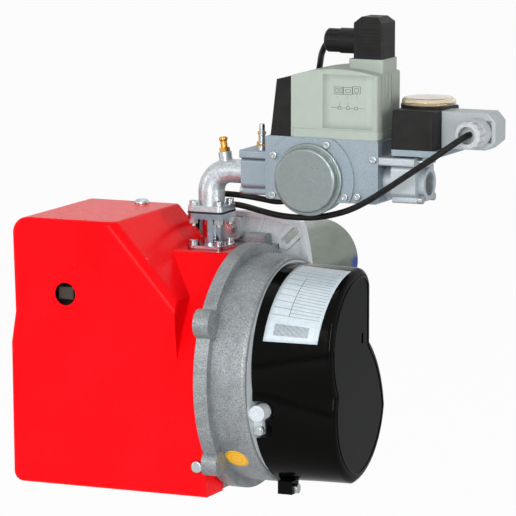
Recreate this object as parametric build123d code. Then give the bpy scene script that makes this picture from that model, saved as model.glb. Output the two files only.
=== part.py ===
from build123d import *
from math import cos, sin, tan, radians, pi
import os

# Monobloc forced-draught gas burner. Millimetres, +Z up.
# Origin: blast tube axis at the boiler side of the mounting flange. +Y runs along
# the tube into the boiler, +X points to the motor side.

# Blast tube and mounting flange
tube_radius = 45.0
tube_wall = 1.5
tube_length = 210.0
flange_thickness = 8.0
flange_corner = 71.0
flange_bulge = 10.0
slot_width = 9.0
slot_run = 16.0
slot_circle_radius = 80.6
tube_seat = 14.0
tube_step = 0.6
flange_recess = 1.0

joint_gap = 0.3
seat_radius = tube_radius - tube_step

# Fan housing: a drum on an X axis, beside a head chamber on the tube's axis
fan_y = -98.0
fan_z = -68.0
drum_left = 43.0
drum_right = 96.0
drum_radius = 119.0
drum_wall = 5.5
drum_rear = -14.0
ring_radius = 128.5
ring_width = 15.0
chamber_left = -58.0
chamber_half = 50.0
chamber_inner_x = -25.0
chamber_front = -106.5
chamber_step = -50.0
chamber_wall = 4.0
chamber_floor = -19.0
chamber_top = 48.0

# Fan wheel and motor
wheel_radius = 75.0
wheel_left = 52.0
wheel_right = 87.0
wheel_eye = 56.0
blade_count = 36
blade_curve = 16.0
blade_thickness = 1.0
shaft_radius = 6.0
bearing_radius = 14.0
bearing_width = 8.0
motor_radius = 44.0
motor_start = 102.0
core_length = 36.0
motor_end = 158.0
running_clearance = 0.05
plate_thickness = 4.5

# Motor shroud
shroud_end = 171.5
shroud_wall = 3.0

# Front cover
cover_left = -181.7
cover_right = 41.3
cover_front = -193.5
cover_back = -33.0
cover_top = 88.5
cover_bottom = -193.5
cover_wall = 3.0
diagonal_start = -63.0
diagonal_end_x = 6.0
diagonal_end_z = 10.0
diagonal_round = 11.0
valley_x = 9.7
valley_z = -50.0
hump_front = -117.0
hump_middle_y = -155.0
hump_middle_z = 8.0
hump_left = -30.0
hump_top = 51.7
intake_opening_back = -49.0
reset_x = -119.5
reset_z = 10.1
reset_hole_radius = 12.0

# Gas riser and elbow
riser_y = -85.0
riser_foot_z = 52.0
riser_plate = 4.0
riser_half = 20.0
riser_bolt = 14.5
riser_radius = 10.0
riser_bore = 8.0
gasket_z = 90.0
gasket_thickness = 2.0
mid_plate = 6.0
elbow_foot_radius = 14.0
elbow_end_radius = 12.5
elbow_bend = 22.0
gas_z = 134.5
elbow_end_x = 45.0

# Multifunction gas valve
valve_left = 75.0
valve_right = 201.0
valve_front = -116.0
valve_back = -50.0
valve_bottom = 112.0
valve_top = 178.0
disc_x = 125.0
disc_rim_radius = 37.7
disc_radius = 33.5
port_length = 30.0
port_radius = 15.0
lug_front = -115.0
lug_back = -55.0
inlet_face_x = 246.0
inlet_bore_radius = 12.1

# Fasteners
bolt_radius = 2.5
bolt_head_radius = 4.3
bolt_head_height = 4.0

# Leads
lead_radius = 3.25


def along_x(sketch, x0, x1):
    """Extrude a sketch drawn in (y, z) from x0 to x1."""
    return extrude(Plane(origin=(x0, 0, 0), x_dir=(0, 1, 0), z_dir=(1, 0, 0)) * sketch, amount=x1 - x0)


def along_y(sketch, y0, y1):
    """Extrude a sketch drawn in (x, z) from y0 to y1."""
    return extrude(Plane(origin=(0, y1, 0), x_dir=(1, 0, 0), z_dir=(0, -1, 0)) * sketch, amount=y1 - y0)


def along_z(sketch, z0, z1):
    """Extrude a sketch drawn in (x, y) from z0 to z1."""
    return extrude(Plane(origin=(0, 0, z0)) * sketch, amount=z1 - z0)


def box(x0, x1, y0, y1, z0, z1):
    return Pos((x0 + x1) / 2, (y0 + y1) / 2, (z0 + z1) / 2) * Box(x1 - x0, y1 - y0, z1 - z0)


def rod_x(y, z, radius, x0, x1):
    return along_x(Pos(y, z) * Circle(radius), x0, x1)


def rod_y(x, z, radius, y0, y1):
    return along_y(Pos(x, z) * Circle(radius), y0, y1)


def rod_z(x, y, radius, z0, z1):
    return along_z(Pos(x, y) * Circle(radius), z0, z1)


def polar(radius, degrees, y=fan_y, z=fan_z):
    return y + radius * cos(radians(degrees)), z + radius * sin(radians(degrees))


def rect(a0, a1, b0, b1, corner=0.0):
    size = (a1 - a0, b1 - b0)
    face = RectangleRounded(*size, corner) if corner else Rectangle(*size)
    return Pos((a0 + a1) / 2, (b0 + b1) / 2) * face


def group(solids):
    """Keep pieces that look alike as separate solids of one node."""
    found = []
    for solid in solids:
        found.extend(solid.solids())
    return Compound(children=found)


def edges_near(shape, axis, low, high):
    """Edges that lie along an axis and have their middle between two corners."""
    lines = shape.edges().filter_by(axis)
    return [e for e in lines if all(l - 0.01 <= c <= h + 0.01 for l, c, h in zip(low, e.center(), high))]


# Blast tube, mounting flange and combustion head

def bulged_square(corner, bulge):
    """A square whose four sides bow out by the bulge."""
    c, m = corner, corner + bulge
    arcs = [
        ThreePointArc((c, -c), (m, 0), (c, c)),
        ThreePointArc((c, c), (0, m), (-c, c)),
        ThreePointArc((-c, c), (-m, 0), (-c, -c)),
        ThreePointArc((-c, -c), (0, -m), (c, -c)),
    ]
    return fillet(make_face(arcs).vertices(), 6)


def slot_places():
    centre = slot_circle_radius / 2 ** 0.5
    return [(sx * centre, sz * centre, 45 if sx * sz > 0 else -45) for sx in (-1, 1) for sz in (-1, 1)]


def housing_footprint(margin):
    """Outline of the housing's rear face on the mounting flange, in (x, z)."""
    return rect(chamber_left - margin, drum_left + 1 + margin, -chamber_half - margin, chamber_top + margin)


def mounting_flange():
    plate = bulged_square(flange_corner, flange_bulge)
    body = along_y(plate, -flange_thickness, 0)
    rim_height = 3.0
    raised = plate - offset(plate, amount=-5)
    for x, z, turn in slot_places():
        raised += Pos(x, z) * Rot(0, 0, turn) * SlotCenterToCenter(slot_run, slot_width + 9)
    for angle in (45, 135, 225, 315):
        for side in (-26, 26):
            raised += Rot(0, 0, angle + side) * Pos(70, 0) * Rectangle(22, 4)
    raised -= housing_footprint(1)
    body += along_y(raised & plate, -flange_thickness - rim_height, -flange_thickness)
    for x, z, turn in slot_places():
        body -= along_y(Pos(x, z) * Rot(0, 0, turn) * SlotCenterToCenter(slot_run, slot_width), -40, 10)
    lug = rect(-15, 3, chamber_top + 4, flange_corner + 4, 4)
    body += along_y(lug, -flange_thickness - 12, -flange_thickness)
    body -= rod_y(0, 0, seat_radius + joint_gap, -60, 10)
    # Shallow recess in the boiler side, so that the tube's full width stands clear of the face
    return body - rod_y(0, 0, tube_radius + joint_gap, -flange_recess, 10)


def clamp_bolt():
    """Hex bolt in the flange's top lug that locks the tube."""
    x, z = -6, chamber_top + 17
    top = -flange_thickness - 12
    head = along_y(Pos(x, z) * RegularPolygon(6.5, 6), top - 6, top)
    return head + rod_y(x, z, 4.5, top - 8, top - 6)


def blast_tube():
    outer = rod_y(0, 0, tube_radius, 0, tube_length)
    outer += rod_y(0, 0, seat_radius, -flange_thickness - tube_seat, 0)
    inner = rod_y(0, 0, tube_radius - tube_wall, -60, tube_length + 1)
    return outer - inner


head_y = tube_length - 26
disc_hole_radius = 11.0
gas_pipe_radius = 9.0


def diffuser_disc():
    """Air diffuser: a shallow steel cone with swirl slots and a central hole."""
    radius = tube_radius - tube_wall - 4
    profile = Polyline(
        (disc_hole_radius, head_y), (disc_hole_radius, head_y + 1.5), (disc_hole_radius + 6, head_y + 1.5),
        (radius, head_y + 8), (radius, head_y + 6.5), (disc_hole_radius + 6, head_y), close=True)
    cone = revolve(make_face(profile), Axis.Y)
    for k in range(12):
        slot = Rot(0, 30 * k, 0) * Pos(radius - 12, head_y + 4, 0) * Rot(0, 0, 0) * Box(15, 20, 2.2)
        cone -= slot
    return cone


def gas_head():
    """Gas pipe from the manifold with a ring of radial ports behind the diffuser."""
    start = riser_y + 14
    pipe = rod_y(0, 0, gas_pipe_radius, start, head_y - 20)
    pipe += rod_y(0, 0, gas_pipe_radius + 5, head_y - 20, head_y - 4)
    pipe += rod_y(0, 0, disc_hole_radius - 0.4, head_y - 4, head_y + 3)
    pipe -= rod_y(0, 0, gas_pipe_radius - 2, start - 1, head_y - 8)
    for k in range(8):
        pipe -= Rot(0, 45 * k + 22.5, 0) * Pos(12, head_y - 12, 0) * Rot(0, 90, 0) * Cylinder(1.6, 14)
    return pipe


def electrode_holder():
    """Clip round the gas pipe that carries the electrodes."""
    y0, y1 = head_y - 60, head_y - 50
    clip = rod_y(0, 0, gas_pipe_radius + 4, y0, y1)
    for x in (-17, 17):
        clip += along_y(rect(min(0, x), max(0, x), 4, 14, 0), y0, y1)
        clip += rod_y(x, 12, 6.5, y0, y1)
        clip -= rod_y(x, 12, 4.0 + 0.02, y0 - 1, y1 + 1)
    return clip - rod_y(0, 0, gas_pipe_radius + 0.02, y0 - 1, y1 + 1)


def electrodes():
    """Ceramic sleeves of the ignition electrode and the ionisation probe."""
    return group([rod_y(x, 12, 4.0, head_y - 90, head_y - 28) for x in (-17, 17)])


def electrode_wires():
    return group([rod_y(x, 12, 1.2, head_y - 28, head_y - 3) for x in (-17, 17)])


# Fan housing

def drum_face(radius, rear):
    return (Pos(fan_y, fan_z) * Circle(radius)) & rect(fan_y - 200, rear, fan_z - 200, fan_z + 200)


def fan_housing():
    outer = along_x(drum_face(drum_radius, drum_rear), drum_left, drum_right)
    edge = [e for e in outer.edges() if e.geom_type == GeomType.CIRCLE and e.center().X > drum_right - 1]
    outer = fillet(edge, 4)
    outer += along_x(drum_face(ring_radius, drum_rear), drum_left, drum_left + ring_width)
    # Lugs round the ring
    for angle, radius in ((152, 15), (-138, 13)):
        y, z = polar(ring_radius + 2, angle)
        outer += rod_x(y, z, radius, drum_left, drum_left + ring_width + 2)
    # Head chamber beside the drum: front box, round neck, and rear block behind the cover
    w, top, right = chamber_wall, chamber_top, drum_left + 1
    body = outer + box(chamber_inner_x, right, chamber_front, chamber_step, chamber_floor, top)
    neck = Circle(chamber_half - 1) + rect(0, right, -chamber_half, top)
    body += along_y(neck, chamber_step, -flange_thickness)
    body += along_y(rect(chamber_left, right, -chamber_half, top, 8), cover_back + 1, -flange_thickness)
    # Boss with the side screw, on top beside the flange
    body += along_x(rect(-30, -12, top - 6, chamber_top + 12, 4), 14, 36)
    # Cavities
    inside = drum_radius - drum_wall
    wall_x = drum_left + drum_wall
    body -= along_x(drum_face(inside, drum_rear - drum_wall), wall_x, drum_right + 1)
    body -= rod_x(fan_y, fan_z, eye_radius + 3.5, drum_left - 1, wall_x + 1)
    body -= box(chamber_inner_x + w, drum_left, chamber_front - 1, chamber_step + 6, chamber_floor + w, top - w)
    body -= box(drum_left - 2, wall_x + 1, chamber_front + 4, chamber_step - 2, 4, 36)
    body -= rod_y(0, 0, tube_radius - 2, chamber_step + 5, -flange_thickness - tube_seat + 1)
    body -= rod_y(0, 0, seat_radius + joint_gap, -flange_thickness - tube_seat, 1)
    # Seat of the gas manifold's pad
    reach = pad_half + joint_gap
    body -= box(-reach, reach, riser_y - reach, riser_y + reach, top - w - 1, top + 1)
    return body


pad_half = 18.5
eye_radius = 41.0


def scroll_liner():
    """Sheet spiral round the wheel; its radius grows from the tongue to the outlet."""
    sheet = 1.5
    start, sweep_degrees = -28, 240
    first, last = wheel_radius + 6, drum_radius - drum_wall - sheet - 2

    def spiral(extra):
        points = []
        for k in range(9):
            t = k / 8
            points.append(polar(first + (last - first) * t ** 0.8 + extra, start - sweep_degrees * t))
        return points
    inner, outer = spiral(0), spiral(sheet)
    outline = [Spline(*inner), Line(inner[-1], outer[-1]), Spline(*reversed(outer)), Line(outer[0], inner[0])]
    ribbon = make_face(outline) & drum_face(200, drum_rear - drum_wall - joint_gap)
    return along_x(ribbon, drum_left + drum_wall + joint_gap, drum_right - plate_thickness - joint_gap)


def inlet_cone():
    """Curved inlet ring that leads the air into the wheel's eye."""
    x0 = drum_left - 2
    r, rim = eye_radius, eye_radius + 6.5
    profile = [
        Line((x0, rim), (x0, r + 3)),
        ThreePointArc((x0, r + 3), (x0 + 4, r + 0.8), (x0 + 10, r)),
        Line((x0 + 10, r), (x0 + 10, r + 1.5)),
        ThreePointArc((x0 + 10, r + 1.5), (x0 + 5, r + 2.2), (x0 + 2, r + 3.2)),
        Line((x0 + 2, r + 3.2), (x0 + 2, rim)),
        Line((x0 + 2, rim), (x0, rim)),
    ]
    face = Plane(origin=(0, fan_y, fan_z), x_dir=(1, 0, 0), z_dir=(0, -1, 0)) * make_face(profile)
    return revolve(face, Axis((0, fan_y, fan_z), (1, 0, 0)))


def fan_wheel():
    """Forward-curved centrifugal wheel: hub plate, ring of blades, shroud ring."""
    plate = rod_x(fan_y, fan_z, wheel_radius, wheel_right - 2, wheel_right)
    hub = rod_x(fan_y, fan_z, 13, wheel_right - 22, wheel_right)
    ring = along_x(Pos(fan_y, fan_z) * (Circle(wheel_radius) - Circle(wheel_eye)), wheel_left, wheel_left + 1.6)
    centre = (wheel_radius - blade_curve - 0.3, 0)
    half = blade_thickness / 2
    front = CenterArc(centre, blade_curve + half, -89, 83)
    back = CenterArc(centre, blade_curve - half, -89, 83)
    section = make_face([front, Line(front @ 1, back @ 1), back, Line(back @ 0, front @ 0)])
    blade = along_x(section, wheel_left + 0.8, wheel_right - 1)
    axis_place = Pos(0, fan_y, fan_z)
    wheel = plate + [axis_place * Rot(360 / blade_count * k, 0, 0) * blade for k in range(blade_count)]
    wheel = wheel + ring + hub
    return wheel - rod_x(fan_y, fan_z, shaft_radius, wheel_left - 5, wheel_right + 5)


# Motor

def motor_plate():
    x1 = drum_right
    x0 = x1 - plate_thickness
    plate = along_x(drum_face(drum_radius - drum_wall - joint_gap, drum_rear - drum_wall - joint_gap), x0, x1)
    plate += rod_x(fan_y, fan_z, bearing_radius + 4, x0, x1 + 4)
    plate += along_x(Pos(fan_y, fan_z) * (Circle(motor_radius) - Circle(motor_radius - 4)), x1, motor_start)
    plate -= rod_x(fan_y, fan_z, bearing_radius, x1 + 4 - bearing_width, x1 + 5)
    plate -= rod_x(fan_y, fan_z, bearing_radius - 3, x0 - 1, x1 + 5)
    # Front boss and screw seat that show in the shroud's notch
    plate += rod_y(x1 + 8, -98, 8.5, -204, -186)
    plate += box(x1, x1 + 9, -192, -184, -122, -92)
    return plate


def bearing(x0):
    ring = Circle(bearing_radius) - Circle(shaft_radius + running_clearance)
    return along_x(Pos(fan_y, fan_z) * ring, x0, x0 + bearing_width)


rear_bearing_x = motor_end - 3 - bearing_width


def motor_bearings():
    return group([bearing(drum_right + 4 - bearing_width), bearing(rear_bearing_x)])


def motor_core():
    """Laminated stator with its slots."""
    x0 = motor_start + 4
    core = Pos(fan_y, fan_z) * (Circle(motor_radius - 1) - Circle(28.5))
    for k in range(24):
        y, z = polar(32, 15 * k)
        core -= Pos(y, z) * Rot(0, 0, 15 * k) * Rectangle(8, 4)
    return along_x(core, x0, x0 + core_length)


def motor_windings():
    x0 = motor_start + 4
    ring = Circle(38) - Circle(30)
    left = along_x(Pos(fan_y, fan_z) * ring, motor_start - 1, x0)
    right = along_x(Pos(fan_y, fan_z) * ring, x0 + core_length, x0 + core_length + 5)
    return group([fillet(left.faces().sort_by(Axis.X)[0].edges(), 1.5),
                  fillet(right.faces().sort_by(Axis.X)[-1].edges(), 1.5)])


def motor_bell():
    """Rear end shield of the motor, with vent slots round its rim."""
    x0 = motor_start
    bell = rod_x(fan_y, fan_z, motor_radius, x0, motor_end)
    bell = fillet(bell.faces().sort_by(Axis.X)[-1].edges(), 6)
    bell -= rod_x(fan_y, fan_z, motor_radius - 1, x0 - 1, x0 + 4 + core_length)
    bell -= rod_x(fan_y, fan_z, motor_radius - 4, x0 - 1, motor_end - 3)
    bell += rod_x(fan_y, fan_z, bearing_radius + 3, rear_bearing_x, motor_end)
    bell -= rod_x(fan_y, fan_z, bearing_radius, rear_bearing_x - 1, motor_end - 3)
    for k in range(8):
        y, z = polar(31, 45 * k)
        bell -= along_x(Pos(y, z) * Rot(0, 0, 45 * k) * SlotCenterToCenter(10, 5), motor_end - 4, motor_end + 1)
    return bell


def rotor():
    x0 = motor_start + 4
    core = rod_x(fan_y, fan_z, 28.0, x0, x0 + core_length)
    shaft = rod_x(fan_y, fan_z, shaft_radius, wheel_right - 24, motor_end - 3.5)
    return core + shaft


def wheel_screw():
    """Screw and washer on the shaft's end that hold the wheel."""
    x1 = wheel_right - 24
    return rod_x(fan_y, fan_z, 9, x1 - 2, x1) + rod_x(fan_y, fan_z, 5, x1 - 6, x1 - 2)


def motor_capacitor():
    y, z = -92.0, -150.0
    can = rod_x(y, z, 17, drum_right + 4, drum_right + 58)
    can = fillet(can.faces().sort_by(Axis.X)[-1].edges(), 3)
    return can + rod_x(y, z, 4, drum_right, drum_right + 4)


def shroud_outline(points, inset):
    """Pear-shaped outline through key points, moved in towards the middle by the inset."""
    centre = Vector(fan_y, fan_z - 10)
    moved = []
    for p in points:
        v = centre - Vector(*p)
        moved.append(Vector(*p) + v.normalized() * inset)
    top, top_arc, waist, low_arc, bottom, back_arc, back, neck_arc, neck, shoulder, corner = moved
    return [
        ThreePointArc(top, top_arc, waist), ThreePointArc(waist, low_arc, bottom),
        ThreePointArc(bottom, back_arc, back), ThreePointArc(back, neck_arc, neck),
        Line(neck, shoulder), ThreePointArc(shoulder, corner, top),
    ]


shroud_base_points = [(-88, 42), (-170, 15), (-197, -76), (-178, -142), (-100, -186), (-42, -163),
                      (-16, -113), (-27, -80), (-58, -39), (-58, 22), (-67, 35)]
shroud_end_points = [(-92, 40), (-161, -8), (-155, -86), (-153, -137), (-101, -185), (-44, -162),
                     (-18, -114), (-28, -80), (-60, -39), (-60, 20), (-69, 34)]


def shroud_body(inset, x0, x1):
    def section(x, points):
        return Plane(origin=(x, 0, 0), x_dir=(0, 1, 0), z_dir=(1, 0, 0)) * make_face(shroud_outline(points, inset))
    return loft([section(x0, shroud_base_points), section(x1, shroud_end_points)], ruled=True)


def motor_shroud():
    outer = shroud_body(0, drum_right, shroud_end)
    rim = [e for e in outer.edges() if e.center().X > shroud_end - 0.5 and e.bounding_box().size.X < 0.01]
    outer = fillet(rim, 7)
    inner = shroud_body(shroud_wall, drum_right - 1, shroud_end - shroud_wall)
    body = outer - inner
    # Two-lobed notch round the housing's front boss and screw
    body -= rod_y(drum_right + 8, -98, 11.5, -230, -150)
    body -= rod_y(drum_right + 7, -117, 10, -230, -150)
    body -= box(drum_right - 1, drum_right + 8, -230, -150, -127, -86.5)
    # Foot lug with its screw hole, and the small cable slot in the end
    body += box(drum_right, drum_right + 16, -131, -113, -196, -182)
    body -= rod_x(-122, -190.5, 3, drum_right - 1, drum_right + 20)
    body -= box(shroud_end - 5, shroud_end + 1, -86.5, -82, -39, -28)
    return body


def shroud_screws():
    foot = rod_x(-122, -190.5, 2.9, drum_right + 2, drum_right + 16) + rod_x(-122, -190.5, 5, drum_right + 16, drum_right + 20)
    head = rod_y(drum_right + 7, -117, 5, -196, -192) + rod_y(drum_right + 7, -117, 3, -198, -196)
    return group([foot, head])


# Front cover and what it hides

def cover_profile(inset):
    """Front outline of the cover in (x, z), with the cut-off corner over the gas line."""
    outline = Polyline(
        (cover_left, cover_top), (diagonal_start, cover_top), (diagonal_end_x, diagonal_end_z),
        (valley_x, valley_z), (cover_right, valley_z), (cover_right, cover_bottom), (cover_left, cover_bottom),
        (cover_left - 1.8, -45), (cover_left + 3.2, -12), close=True)
    return offset(make_face(outline), amount=-inset, kind=Kind.INTERSECTION) if inset else make_face(outline)


def cover_hump(inset):
    """Raised part over the gas manifold: its face bends back from the front to a flat top."""
    foot, middle = (cover_front, valley_z), (hump_middle_y, hump_middle_z)
    crest = (hump_front, hump_top)
    outline = make_face([
        ThreePointArc(foot, middle, crest), Line(crest, (cover_back + 40, hump_top)),
        Line((cover_back + 40, hump_top), (cover_back + 40, valley_z - 20)),
        Line((cover_back + 40, valley_z - 20), (cover_front, valley_z - 20)), Line((cover_front, valley_z - 20), foot)])
    body = along_x(outline, hump_left, cover_right + 2 * inset)
    body = fillet(edges_near(body, Axis.X, (-300, hump_front, hump_top), (300, hump_front, hump_top)), 8)
    if inset:
        body = offset(body, amount=-inset, kind=Kind.INTERSECTION)
    return body & box(-300, cover_right + inset, -300, cover_back + inset, -300, 300)


def corner_edges(body, z):
    """Long edges of the cover's left corners at one height."""
    lines = body.edges().filter_by(Axis.Y)
    return [e for e in lines if e.center().X < cover_left + 12 and abs(e.center().Z - z) < 12]


def cover_form(inset, back):
    prism = along_y(cover_profile(inset), cover_front + inset, back)
    prism = fillet(corner_edges(prism, cover_top), 17 - inset)
    return fillet(corner_edges(prism, cover_bottom), 11 - inset)


def round_slant(body, front, radius):
    """Round the long slanted edge between the cover's front and its cut-off corner."""
    rim = [e for e in body.edges() if abs(e.center().Y - front) < 0.01 and e.geom_type == GeomType.LINE]
    slanted = [e for e in rim if e.bounding_box().size.Z > 40 and e.bounding_box().size.X > 40]
    return fillet(slanted, radius)


def front_cover():
    outer = round_slant(cover_form(0, cover_back), cover_front, diagonal_round)
    rim = [e for e in outer.edges() if abs(e.center().Y - cover_front) < 0.01
           and not (e.center().X > diagonal_start and e.center().Z > valley_z - 5)]
    outer = fillet(rim, 5) + cover_hump(0)
    inner = cover_form(cover_wall, cover_back + 1)
    inner = round_slant(inner, cover_front + cover_wall, diagonal_round - cover_wall) + cover_hump(cover_wall)
    # The cover is open on its right, where it meets the housing
    side = rect(0, cover_right + 1, cover_bottom + cover_wall, valley_z)
    inner += along_y(side, cover_front + cover_wall, cover_back + 1)
    body = outer - inner
    # Right wall stands only outside the housing's ring and the air box
    wall = box(cover_right - cover_wall, cover_right, cover_front + 2, cover_back, cover_bottom + 1, valley_z - 10)
    wall -= rod_x(fan_y, fan_z, ring_radius - 6, 0, 100)
    body += wall
    body -= box(cover_right - cover_wall - 1, cover_right + 1, intake_front - 1, cover_back + 1, -400, valley_z)
    # Reset button hole in its shallow dish
    dish = Pos(reset_x + 13, reset_z + 10.5) * Rot(0, 0, 39) * SlotCenterToCenter(33, 31)
    body -= along_y(dish, cover_front - 1, cover_front + 1.2)
    body -= rod_y(reset_x, reset_z, reset_hole_radius, cover_front - 1, cover_front + 20)
    # Slot that slides past the gas manifold's pad
    slot = rect(-pad_half - 1, pad_half + 1, riser_y - pad_half - 1, cover_back + 5)
    body -= along_z(slot, chamber_top - 6, hump_top + 1)
    # Side and top screw holes
    x, z = side_screw
    body -= rod_y(x, z, 7.2, cover_front - 1, cover_front + 1.5)
    body -= rod_y(x, z, 2.8, cover_front - 1, cover_front + 20)
    body -= rod_z(top_screw[0], top_screw[1], 2.8, cover_top - 10, cover_top + 1)
    # Air intake grille in the bottom
    for k in range(7):
        y = intake_front + 12 + k * 11
        body -= box(intake_left + 6, intake_right - 6, y, y + 6, cover_bottom - 1, cover_bottom + cover_wall + 1)
    return body


side_screw = (32.1, -161.1)
top_screw = (-100.4, -45.0)


def cover_screws():
    x, y = top_screw
    top = rod_z(x, y, 8, cover_top, cover_top + 4.5)
    top = fillet(top.faces().sort_by(Axis.Z)[-1].edges(), 3.8)
    top += rod_z(x, y, 2.5, cover_top - 12, cover_top)
    x, z = side_screw
    y = cover_front + 1.5
    side = rod_y(x, z, 6.5, y - 4, y)
    side = fillet(side.faces().sort_by(Axis.Y)[0].edges(), 2)
    side += rod_y(x, z, 2.5, y, y + 20)
    return group([top, side])


def back_plate():
    """Steel plate behind the cover; carries the controls and the cover's catches."""
    y1 = cover_back - 1
    plate = cover_form(cover_wall + joint_gap, y1) & box(-400, chamber_left + 8, y1 - 2, y1, -400, 400)
    plate -= rod_y(0, 0, chamber_half - 0.7, y1 - 10, y1 + 10)
    x, y = top_screw
    top = cover_top - cover_wall - joint_gap
    plate += box(x - 9, x + 9, y - 9, y1, top - 8, top)
    plate -= rod_z(x, y, 2.6, cover_top - 20, cover_top)
    return plate


intake_left = -30.0
intake_right = drum_left
intake_front = -148.0
intake_back = -51.0


def intake_box():
    """Air box under the cover: from the bottom grille up to the wheel's eye."""
    x1 = intake_right
    z0, z1 = cover_bottom + cover_wall + joint_gap, chamber_floor
    wall = 2.0
    outer = box(intake_left, x1, intake_front, intake_back, z0, z1)
    outer -= box(intake_left + wall, x1 - wall, intake_front + wall, intake_back - wall, z0 - 1, z1 - wall)
    mouth = Pos(fan_y, fan_z) * Circle(eye_radius + 1)
    outer -= along_x(mouth, x1 - wall - 1, x1 + 1)
    seat = Pos(fan_y, fan_z) * Circle(eye_radius + 6.7)
    outer -= along_x(seat, drum_left - 2 - joint_gap, x1 + 1)
    outer -= rod_y(damper_x, damper_z, damper_shaft + 0.08, intake_front - 5, intake_back + 5)
    return outer


damper_x = 5.0
damper_z = -158.0
damper_shaft = 3.0


def air_damper():
    """Flap on a shaft across the air box, with its adjusting lever in front."""
    half = 27.0
    flap = box(damper_x - half, damper_x + half, intake_front + 3, intake_back - 3, damper_z - 0.9, damper_z + 0.9)
    shaft = rod_y(damper_x, damper_z, damper_shaft, intake_front - 10, intake_back + 2)
    lever = along_y(Pos(damper_x, damper_z + 10) * SlotOverall(30, 8, rotation=90), intake_front - 10, intake_front - 7)
    return flap + shaft + lever


def control_box():
    """Burner control: black moulded box with a window round the reset button."""
    body = box(-168, -88, -178, -112, -45, 32)
    body = fillet(edges_near(body, Axis.Y, (-300, -300, -300), (300, 300, 300)), 4)
    x, z = button_centre
    body -= box(x - button_half_x - 0.3, x + button_half_x + 0.3, -179, -168, z - button_half_z - 0.3, z + button_half_z + 0.3)
    return body


button_centre = (-121.5, 10.0)
button_half_x = 9.0
button_half_z = 7.0
button_travel = 3.0


def reset_button():
    x, z = button_centre
    cap = box(x - button_half_x, x + button_half_x, -186, -168 - button_travel - 0.4, z - button_half_z, z + button_half_z)
    return fillet(cap.faces().sort_by(Axis.Y)[0].edges(), 1.2)


def control_base():
    base = box(-170, -86, -112, -92, -47, 34)
    legs = [box(x, x + 10, -92, plate_y, z, z + 10) for x in (-166, -100) for z in (-40, 18)]
    return base + legs


def ignition_transformer():
    body = box(-165, -90, -150, -85, -160, -80)
    body = fillet(edges_near(body, Axis.Y, (-300, -300, -300), (300, 300, 300)), 5)
    body += [box(x, x + 12, -85, plate_y, z, z + 12) for x in (-160, -107) for z in (-155, -97)]
    body += rod_y(-127, -120, 6, -162, -150)
    return body


def air_pressure_switch():
    """Round diaphragm switch with two hose spigots, on its bracket."""
    x, z, y0 = air_switch_x, air_switch_z, -100
    body = rod_y(x, z, 26, y0, y0 + 24)
    body = fillet(body.faces().sort_by(Axis.Y)[0].edges(), 4)
    body += box(x - 14, x + 8, y0 + 24, plate_y, z - 14, z + 14)
    body += rod_z(x - 8, y0 + 14, 3, z - 36, z - 20)
    body += rod_z(x + 6, y0 + 14, 3, z - 36, z - 20)
    return body


air_switch_x, air_switch_z = -62.0, -110.0


def air_switch_dial():
    x, z = air_switch_x, air_switch_z
    dial = rod_y(x, z, 9, -104.5, -100.3)
    return dial - box(x - 1, x + 1, -106, -103.3, z - 7, z + 7)


plate_y = cover_back - 3


def head_cover():
    """Plate that closes the head chamber's front, with a sight glass rim."""
    y = chamber_front
    plate = along_y(rect(chamber_inner_x, drum_left - 1.5, chamber_floor + 1, chamber_top - 2, 4), y - 3, y)
    return plate + along_y(Pos(4, 12) * (Circle(10) - Circle(7)), y - 6, y - 3)


def cable_grommets():
    rings = []
    for x in (lead_entry[0][0], lead_entry[1][0]):
        bore = lead_radius + 0.1
        profile = make_face(Polyline((bore, 0), (8, 0), (8, 2), (6, 3), (5, 8), (bore, 8), close=True))
        ring = revolve(profile, Axis.Y)
        rings.append(Pos(x, lead_entry_y, chamber_top) * Rot(90, 0, 0) * ring)
    return group(rings)


lead_entry_y = -24.0
lead_entry = [(-46.0,), (-28.0,)]


# Gas riser and elbow

def bolt_places(x, y, half):
    return [(x + sx * half, y + sy * half) for sx in (-1, 1) for sy in (-1, 1)]


def gas_manifold():
    """Casting inside the head chamber that turns the gas into the head's pipe."""
    pad = along_z(rect(-pad_half, pad_half, riser_y - pad_half, riser_y + pad_half, 5), chamber_top - 6, riser_foot_z)
    column = rod_z(0, riser_y, 12, -1, chamber_top - 5)
    column += Pos(0, riser_y, -1) * Sphere(12)
    column += rod_y(0, 0, 12.5, riser_y, riser_y + 24)
    body = pad + column
    body -= rod_z(0, riser_y, riser_bore, 0, riser_foot_z + 1)
    body -= rod_y(0, 0, gas_pipe_radius - 2, riser_y, riser_y + 25)
    body -= rod_y(0, 0, gas_pipe_radius + 0.02, riser_y + 14, riser_y + 25)
    return body


def square_plate(z0, z1, half):
    plate = along_z(rect(-half, half, riser_y - half, riser_y + half, 5), z0, z1)
    for x, y in bolt_places(0, riser_y, riser_bolt):
        plate -= rod_z(x, y, bolt_radius + 0.1, z0 - 1, z1 + 1)
    return plate


def gas_riser():
    """Chromed pipe with a square plate at each end."""
    z1 = gasket_z
    body = square_plate(riser_foot_z, riser_foot_z + riser_plate, riser_half)
    body += square_plate(z1 - mid_plate, z1, riser_half)
    body += rod_z(0, riser_y, riser_radius, riser_foot_z, z1)
    return body - rod_z(0, riser_y, riser_bore, riser_foot_z - 1, z1 + 1)


def riser_gasket():
    sheet = square_plate(gasket_z, gasket_z + gasket_thickness, riser_half + 0.4)
    return sheet - rod_z(0, riser_y, riser_bore, gasket_z - 1, gasket_z + 5)


def socket_bolt(x, y, low, seat):
    head = rod_z(x, y, bolt_head_radius, seat, seat + 5)
    head -= along_z(Pos(x, y) * RegularPolygon(2.4, 6), seat + 2, seat + 6)
    return head + rod_z(x, y, bolt_radius, low, seat)


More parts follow.
